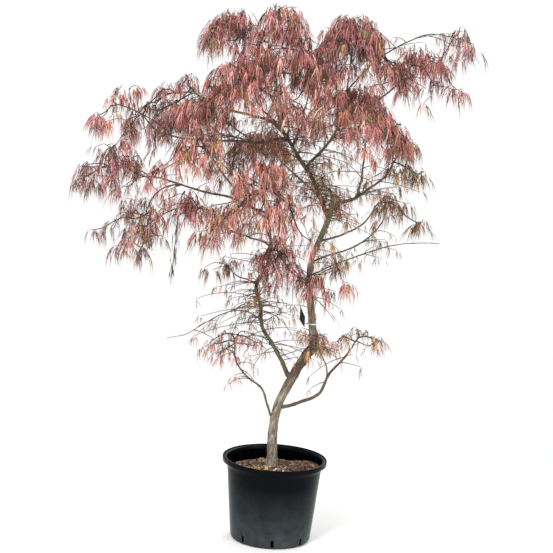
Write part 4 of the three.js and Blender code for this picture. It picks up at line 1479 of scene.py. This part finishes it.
# Thin leafy shoots straight from old wood: the limb, the shares of its length where they
# start and end, how many there are, their mean length in metres, how many of their joints
# bear leaves, and the mix of tints.
SHOOTS = [
    ("second_stem", 0.10, 0.70, 60, 0.10, 1, "leaves_olive"),
    ("second_stem", 0.34, 0.62, 45, 0.06, 1, "leaves_olive"),
    ("second_stem", 0.28, 0.55, 4, 0.24, 1, "leaves_bronze"),
    ("trunk", 0.44, 0.505, 22, 0.06, 3, "golden"),
    ("trunk", 0.46, 0.51, 8, 0.07, 3, "leaves_coral"),
    ("trunk", 0.58, 0.74, 12, 0.10, 2, "leaves_olive"),
    ("trunk", 0.74, 0.97, 22, 0.09, 3, "golden"),
    ("leader", 0.05, 0.62, 50, 0.11, 3, "leaves_rust"),
    ("whip_left", 0.25, 0.75, 5, 0.09, 2, "leaves_olive"),
    ("whip_right", 0.30, 0.70, 5, 0.09, 2, "leaves_olive"),
    ("bough_foot_right", 0.45, 0.95, 5, 0.08, 1, "leaves_olive"),
    ("bough_foot_left", 0.55, 0.95, 10, 0.08, 2, "leaves_coral"),
    ("bough_right_upper", 0.30, 0.90, 8, 0.10, 3, "leaves_olive"),
    ("bough_right_rear", 0.30, 0.90, 6, 0.10, 2, "leaves_olive"),
    ("bough_arch_right", 0.05, 0.70, 22, 0.11, 3, "leaves_coral"),
    ("bough_back_middle", 0.10, 0.75, 18, 0.12, 3, "leaves_bronze"),
    ("bough_back_right", 0.10, 0.75, 14, 0.12, 3, "leaves_rust"),
    ("bough_back_left", 0.20, 0.80, 14, 0.12, 3, "leaves_rose"),
    ("bough_back_upper", 0.20, 0.80, 14, 0.12, 3, "leaves_coral"),
    ("bough_right_front", 0.05, 0.60, 12, 0.10, 3, "golden"),
    ("bough_far_right", 0.30, 0.90, 10, 0.11, 3, "leaves_rose"),
    ("bough_left_far", 0.25, 0.90, 10, 0.10, 3, "leaves_rose"),
    ("bough_left_level", 0.25, 0.90, 10, 0.10, 3, "leaves_rust"),
    ("bough_left_lower", 0.25, 0.90, 4, 0.10, 3, "leaves_coral"),
    ("bough_right_tip", 0.30, 0.95, 9, 0.09, 3, "leaves_bronze"),
    ("leader", 0.12, 0.38, 24, 0.10, 3, "leaves_olive"),
    ("leader", 0.14, 0.34, 12, 0.08, 3, "golden"),
    ("leader", 0.05, 0.16, 9, 0.07, 3, "leaves_rust"),
    ("second_stem", 0.30, 0.62, 26, 0.08, 2, "leaves_olive"),
]
# The finish in the record of each mix of the shoots that isn't named for one.
SLOTS = {"golden": "leaves_olive"}
OUTWARDS = 0.4  # how strongly a shoot turns away from the middle of the plant
SHOOT_RISES = (-0.2, 0.7)
SHOOT_LENGTHS = (0.5, 1.5)  # of the mean
SHOOT_CURVE = 0.35
SHOOT_SAGS = (0.05, 0.55)
SHOOT_RADII = (0.0015, 0.0006)  # at its foot and its tip
SHOOT_JOINTS = (7, 5, 3)  # stations that bear leaves, from the tip down
SHOOT_LEAF = 0.62  # size of a leaf on old wood


def shoot_paths(starts, ways, lengths, rng):
    """Shoots that leave the limb, straighten out and sag: place = start + length (t way +
    t^2 sag down + t^2 curve sideways)."""
    t = np.linspace(0, 1, TWIG_STATIONS)[None, :, None]
    curve = np.cross(UP, ways)[:, None] * rng.normal(0, SHOOT_CURVE, (len(starts), 1, 1))
    sag = rng.uniform(*SHOOT_SAGS, (len(starts), 1, 1)) * -UP
    return starts[:, None] + lengths[:, None, None] * (t * ways[:, None] + t**2 * (sag + curve))


def build_shoots(s):
    """All the thin shoots as one mesh, and their leaves as one mesh for each mix."""
    rng = np.random.default_rng(77)
    middle = np.mean(list(mass_middles().values()), axis=0)
    paths, by_mix = [], {}
    for limb, low, high, number, mean_length, leafy, mix in SHOOTS:
        path, _ = limbs()[limb]
        starts = path[(rng.uniform(low, high, number) * (len(path) - 1)).astype(int)]
        level = rng.uniform(0, TURN, number)
        away = OUTWARDS * unit((starts - middle) * LEVEL)
        rise = rng.uniform(*SHOOT_RISES, number)
        ways = unit(away + round_axis(1.0, level, rise))
        lengths = mean_length * rng.uniform(*SHOOT_LENGTHS, number)
        made = shoot_paths(starts, ways, lengths, rng)
        paths.append(made)
        joints = np.concatenate([made[:, at : at + 2] for at in SHOOT_JOINTS[:leafy]])
        by_mix.setdefault(mix, []).append(joints)
    paths = np.concatenate(paths)
    radii = np.linspace(*SHOOT_RADII, TWIG_STATIONS)[None].repeat(len(paths), 0)
    skin, faces, _ = sweep(paths, radii, TWIG_SIDES)
    twigs = new_piece("twigs_on_old_wood", skin, faces, [finish_of(twig_skin, "maple_wood")])
    place_piece(twigs, "bough_bark")
    for mix, groups in by_mix.items():
        joints = np.concatenate(groups)
        facing = unit(joints[:, 1] - joints[:, 0])
        numbers = rng.integers(1, 3, len(joints))
        spray, feet, outward = spray_feet(joints[:, 1], facing, numbers, rng)
        sizes = SHOOT_LEAF * s.size * rng.uniform(*LEAF_SIZES, len(feet))
        name = "foliage_on_old_wood_" + mix.removeprefix("leaves_")
        leafy_piece(name, (spray, feet, outward, sizes), mix, s, rng)


DRIED_LEAVES = 34
DRIED_RANGE = (0.05, 0.84)  # of the dead shoot's length
DRIED_TURN = 2.4  # round the shoot, from one leaf to the next
DRIED_OUTWARD = 0.08
DRIED_SIZE, DRIED_SIZES = 0.52, (0.8, 1.2)
DRIED_OPENNESS = 0.1
THREAD_RISE = 0.2
THREAD_GIRTH = 0.0014


def build_dead_leaves(s):
    """Dried leaves that cling, rolled up tight, all down the dead shoot, and the thread of
    wood that it hangs by."""
    rng = np.random.default_rng(5)
    path, radii = limbs()["dead_shoot"]
    at = np.linspace(*DRIED_RANGE, DRIED_LEAVES) * (len(path) - 1)
    round_it = round_axis(1.0, DRIED_TURN * np.arange(DRIED_LEAVES), 0.0)
    feet = path[at.astype(int)] + 0.002 * round_it
    sizes = DRIED_SIZE * s.size * rng.uniform(*DRIED_SIZES, DRIED_LEAVES)
    leaves = (np.arange(DRIED_LEAVES), feet, DRIED_OUTWARD * round_it, sizes)
    leafy_piece("dried_leaves", leaves, "dead_wood", s, rng, openness=DRIED_OPENNESS)
    bearers = np.concatenate([line for name, (line, _) in limbs().items() if name != "dead_shoot"])
    start = bearers[np.argmin(np.linalg.norm(bearers - path[0], axis=1))]
    rise = UP * THREAD_RISE * np.linalg.norm(path[0] - start)
    line = np.array([start, (start + path[0]) / 2 + rise, path[0]])
    thread, _, _ = smooth_path(line, PATH_STEP)
    girth = np.linspace(THREAD_GIRTH, radii[0], len(thread))
    skin, faces, _ = sweep(thread[None], girth[None], TWIG_SIDES)
    piece = new_piece("dead_shoot_thread", skin, faces, [finish_of(twig_skin, "maple_wood")])
    place_piece(piece, "dead_wood")


# ------------------------------------------------------------------ label


TAG_COLUMNS, TAG_ROWS = 9, 25
STRAP_GAP = 0.0016  # between the trunk and the strap
STRAP_JOINT = 0.7  # where the strap leaves the tag, across it
STRAP_ENDS = (0.35, 0.2)  # how much of a turn the strap leaves open at either end
STRAP_STATIONS = 40


def build_label(s):
    """The tag is the flat patch between its solid's four corners, bowed out of its plane by
    bow x (1 - u^2). The strap is a flat band carried from the tag once round the trunk."""
    solid = corners_of("plant_label")
    heights = np.unique(np.round(solid[:, 2], 4))
    named = [heights[0], heights[-3], heights[-2], heights[-1]]
    level = [solid[np.abs(solid[:, 2] - height) < 1e-4].mean(axis=0) for height in named]
    right_foot, left_foot, right_top, left_top = level
    u = np.linspace(-1, 1, TAG_COLUMNS)[None, :, None]
    v = np.linspace(0, 1, TAG_ROWS)[:, None, None]
    left = between(left_foot, left_top, v)
    right = between(right_foot, right_top, v)
    face = unit(np.cross(right_foot - left_foot, left_top - left_foot))
    grid = between(left, right, (1 + s.width * u) / 2) + s.bow * (1 - u**2) * face
    index = np.arange(TAG_ROWS * TAG_COLUMNS).reshape(TAG_ROWS, TAG_COLUMNS)
    quads = np.stack([index[:-1, :-1], index[:-1, 1:], index[1:, 1:], index[1:, :-1]], -1)
    # The front sheet is near-black: dark plastic with painted shade on the tag's face.
    front = label_sheet("dark_label_polythene", s.front)
    back = label_sheet("pale_label_polythene", s.back)
    tag = new_piece("label_tag", grid.reshape(-1, 3), [quads.reshape(-1, 4)], [front, back])
    sheet = tag.modifiers.new("thickness", "SOLIDIFY")
    sheet.thickness = s.thickness
    sheet.offset = 0
    sheet.material_offset = 1
    place_piece(tag, "label_plastic", "plant_label")
    path, radii = limbs()["trunk"]
    strap_height = (heights[1] + heights[2]) / 2
    ring_at = int(np.argmin(np.abs(path[:, 2] - strap_height)))
    middle, radius = path[ring_at], radii[ring_at] + STRAP_GAP
    joint = between(left_foot, right_foot, STRAP_JOINT)
    start = math.atan2(joint[1] - middle[1], joint[0] - middle[0])
    turns = start - np.linspace(STRAP_ENDS[0], TURN - STRAP_ENDS[1], STRAP_STATIONS)
    loop = middle + round_axis(radius, turns, 0.0)
    route = np.concatenate([[joint, (joint + loop[0]) / 2], loop])
    route[:, 2] = strap_height
    band, _, _ = smooth_path(route, 0.002)
    out = np.cross(unit(np.gradient(band, axis=0)), UP)
    corners = [(-1, 1), (1, 1), (1, -1), (-1, -1)]
    rings = [band + a * s.thickness / 2 * out + b * s.strap / 2 * UP for a, b in corners]
    skin = np.stack(rings, axis=1).reshape(-1, 3)
    ends = np.array([[3, 2, 1, 0], len(skin) - 4 + np.arange(4)])
    faces = [ring_faces(1, len(band), 4), ends]
    strap = new_piece("label_strap", skin, faces, [back], smooth=False)
    place_piece(strap, "label_plastic")


# ------------------------------------------------------------------ stage


def floor_paint(s):
    """Matt white studio floor paint, rolled on: a faint mottle and orange peel of 4 mm."""
    material, make = new_material("matt_studio_paint")
    place = make("TexCoord", out="Object")
    mottle = make("TexNoise", {"Vector": place, "Scale": 1 / 0.25, "Detail": 2})
    base = make("Mix", {0: mottle, 6: opaque(s.floor), 7: opaque(s.floor, 0.985)}, **COLOURS)
    peel = make("TexNoise", {"Vector": place, "Scale": 1 / 0.004, "Detail": 2})
    surface = {"Base Color": base, "Roughness": 0.9, "Specular IOR Level": 0.2}
    return finished(material, surface, peel, 0.00003)


FLOOR_RADIUS = 1.6
FLOOR_SIDES = 96
FLOOR_SET = -0.0004  # its height, just under the container
AIM = (0, 0, 1.0)
# Each light's place, its size and its power as a share of the key's.
LIGHTS = {
    "key": ((-1.9, -3.6, 3.6), 1.6, 1.0),
    "fill": ((2.8, -2.8, 2.2), 2.2, 0.35),
    "back": ((1.2, 3.4, 3.0), 2.0, 0.45),
}
WHITE = (1, 1, 1, 1)


def area_light(name, place, aim, size, power):
    lamp = bpy.data.lights.new(name, "AREA")
    lamp.shape = "DISK"
    lamp.size = size
    lamp.energy = power
    made = bpy.data.objects.new(name, lamp)
    made.matrix_world = looking(np.array(place, float), np.array(aim, float))
    bpy.context.scene.collection.objects.link(made)


def looking(place, aim):
    """A matrix at place whose -Z points at aim."""
    ahead = unit(aim - place)
    right = unit(np.cross(ahead, UP))
    over = np.cross(right, ahead)
    turned = np.eye(4)
    turned[:3, 0], turned[:3, 1], turned[:3, 2], turned[:3, 3] = right, over, -ahead, place
    return Matrix(turned.tolist())


def build_stage(s):
    """A wide pale floor, white all round, a soft key from the upper left, and the camera.

    The camera looks along its level heading turned up by the pitch, and its roll turns the
    other two directions about that line."""
    around = np.arange(FLOOR_SIDES)
    rim = round_axis(FLOOR_RADIUS, TURN * around / FLOOR_SIDES, FLOOR_SET)
    places = np.concatenate([rim, [[0, 0, FLOOR_SET]]])
    faces = np.stack([np.full_like(around, FLOOR_SIDES), around, np.roll(around, -1)], -1)
    floor = new_piece("floor", places, [faces], [finish_of(floor_paint, "maple_stage")])
    scene = bpy.context.scene
    world = bpy.data.worlds.new("white_surround")
    scene.world = world
    world.use_nodes = True
    world.node_tree.nodes.clear()
    make = functools.partial(add, world.node_tree)
    seen = make("Background", {"Color": WHITE, "Strength": 1.0})
    lit = make("Background", {"Color": WHITE, "Strength": s.ambient})
    ray = make("LightPath", out="Is Camera Ray")
    both = make("MixShader", {0: ray, 1: lit, 2: seen})
    make("OutputWorld", {"Surface": both})
    for name, (place, size, power) in LIGHTS.items():
        area_light(name, place, AIM, size, s.key * power)
    level = np.array([math.sin(s.yaw), math.cos(s.yaw), 0.0])
    ahead = level * math.cos(s.pitch) + UP * math.sin(s.pitch)
    right = np.array([math.cos(s.yaw), -math.sin(s.yaw), 0.0])
    over = np.cross(right, ahead)
    cosine, sine = math.cos(s.roll), math.sin(s.roll)
    turned = np.eye(4)
    turned[:3, 0] = cosine * right + sine * over
    turned[:3, 1] = cosine * over - sine * right
    turned[:3, 2] = -ahead
    turned[:3, 3] = (0, -s.distance, s.height)
    lens = bpy.data.cameras.new("camera")
    lens.lens = s.lens
    lens.sensor_width = 36
    lens.clip_end = 60
    camera = bpy.data.objects.new("camera", lens)
    camera.matrix_world = Matrix(turned.tolist())
    scene.collection.objects.link(camera)
    scene.camera = camera
    scene.view_settings.view_transform = "Standard"


# ------------------------------------------------------------------ operators


class MAPLE_OT_container(Operator):
    """Builds the nursery container in place of its solid"""

    bl_idname = "maple.container"
    bl_label = "Container"

    def execute(self, context):
        build_container(context.scene.maple_container)
        return {"FINISHED"}


class MAPLE_OT_mulch(Operator):
    """Builds the potting mix and the bark chips on it"""

    bl_idname = "maple.mulch"
    bl_label = "Potting mix"

    def execute(self, context):
        build_mulch(context.scene.maple_mulch)
        build_chips(context.scene.maple_mulch)
        return {"FINISHED"}


class MAPLE_OT_trunk(Operator):
    """Builds the trunk with its flare, graft and bark"""

    bl_idname = "maple.trunk"
    bl_label = "Trunk"

    def execute(self, context):
        build_trunk(context.scene.maple_wood)
        return {"FINISHED"}


class MAPLE_OT_boughs(Operator):
    """Builds every bough, and the dead shoot, along its solid's line"""

    bl_idname = "maple.boughs"
    bl_label = "Boughs"

    def execute(self, context):
        for seed, node in enumerate(limbs()):
            if node != "trunk":
                build_bough(node, context.scene.maple_wood, seed)
        return {"FINISHED"}


class MAPLE_OT_foliage(Operator):
    """Grows twigs and leaves in every mass of foliage"""

    bl_idname = "maple.foliage"
    bl_label = "Foliage"

    def execute(self, context):
        leaves = 0
        for seed, entry in enumerate(frame["record"]["subparts"]):
            node, slot = entry["node"], entry["material_slot"]
            if node.startswith("leaves_"):
                leaves += build_mass(node, slot, context.scene.maple_leaf, seed)
        if not leaves:
            raise RuntimeError("no mass of foliage was found in the frame")
        print("leaves", leaves)
        return {"FINISHED"}


class MAPLE_OT_shoots(Operator):
    """Adds the thin shoots on old wood and the dried leaves on the dead shoot"""

    bl_idname = "maple.shoots"
    bl_label = "Thin shoots"

    def execute(self, context):
        build_shoots(context.scene.maple_leaf)
        build_dead_leaves(context.scene.maple_leaf)
        return {"FINISHED"}


class MAPLE_OT_label(Operator):
    """Builds the blank tag and its strap"""

    bl_idname = "maple.label"
    bl_label = "Label"

    def execute(self, context):
        build_label(context.scene.maple_label)
        return {"FINISHED"}


class MAPLE_OT_stage(Operator):
    """Sets up the floor, the lights and the camera"""

    bl_idname = "maple.stage"
    bl_label = "Stage"

    def execute(self, context):
        build_stage(context.scene.maple_stage)
        return {"FINISHED"}


OPERATORS = (
    MAPLE_OT_container,
    MAPLE_OT_mulch,
    MAPLE_OT_trunk,
    MAPLE_OT_boughs,
    MAPLE_OT_foliage,
    MAPLE_OT_shoots,
    MAPLE_OT_label,
    MAPLE_OT_stage,
)


class MAPLE_PT_pieces(Panel):
    """Lists what can be built, with the settings of each piece"""

    bl_label = "Laceleaf Maple"
    bl_idname = "MAPLE_PT_pieces"
    bl_space_type = "VIEW_3D"
    bl_region_type = "UI"
    bl_category = "Maple"

    def draw(self, context):
        for operator in OPERATORS:
            self.layout.operator(operator.bl_idname)
        for name, group in SETTINGS.items():
            box = self.layout.box()
            box.label(text=group.__doc__)
            for key in group.__annotations__:
                box.prop(getattr(context.scene, name), key)


def register():
    for cls in (*SETTINGS.values(), *OPERATORS, MAPLE_PT_pieces):
        bpy.utils.register_class(cls)
    for name, group in SETTINGS.items():
        setattr(bpy.types.Scene, name, PointerProperty(type=group))


def unregister():
    for name in SETTINGS:
        delattr(bpy.types.Scene, name)
    for cls in reversed((*SETTINGS.values(), *OPERATORS, MAPLE_PT_pieces)):
        bpy.utils.unregister_class(cls)


def main():
    register()
    bpy.ops.maple.container()
    bpy.ops.maple.mulch()
    bpy.ops.maple.trunk()
    bpy.ops.maple.boughs()
    bpy.ops.maple.foliage()
    bpy.ops.maple.shoots()
    bpy.ops.maple.label()
    bpy.ops.maple.stage()


if __name__ == "__main__":
    main()
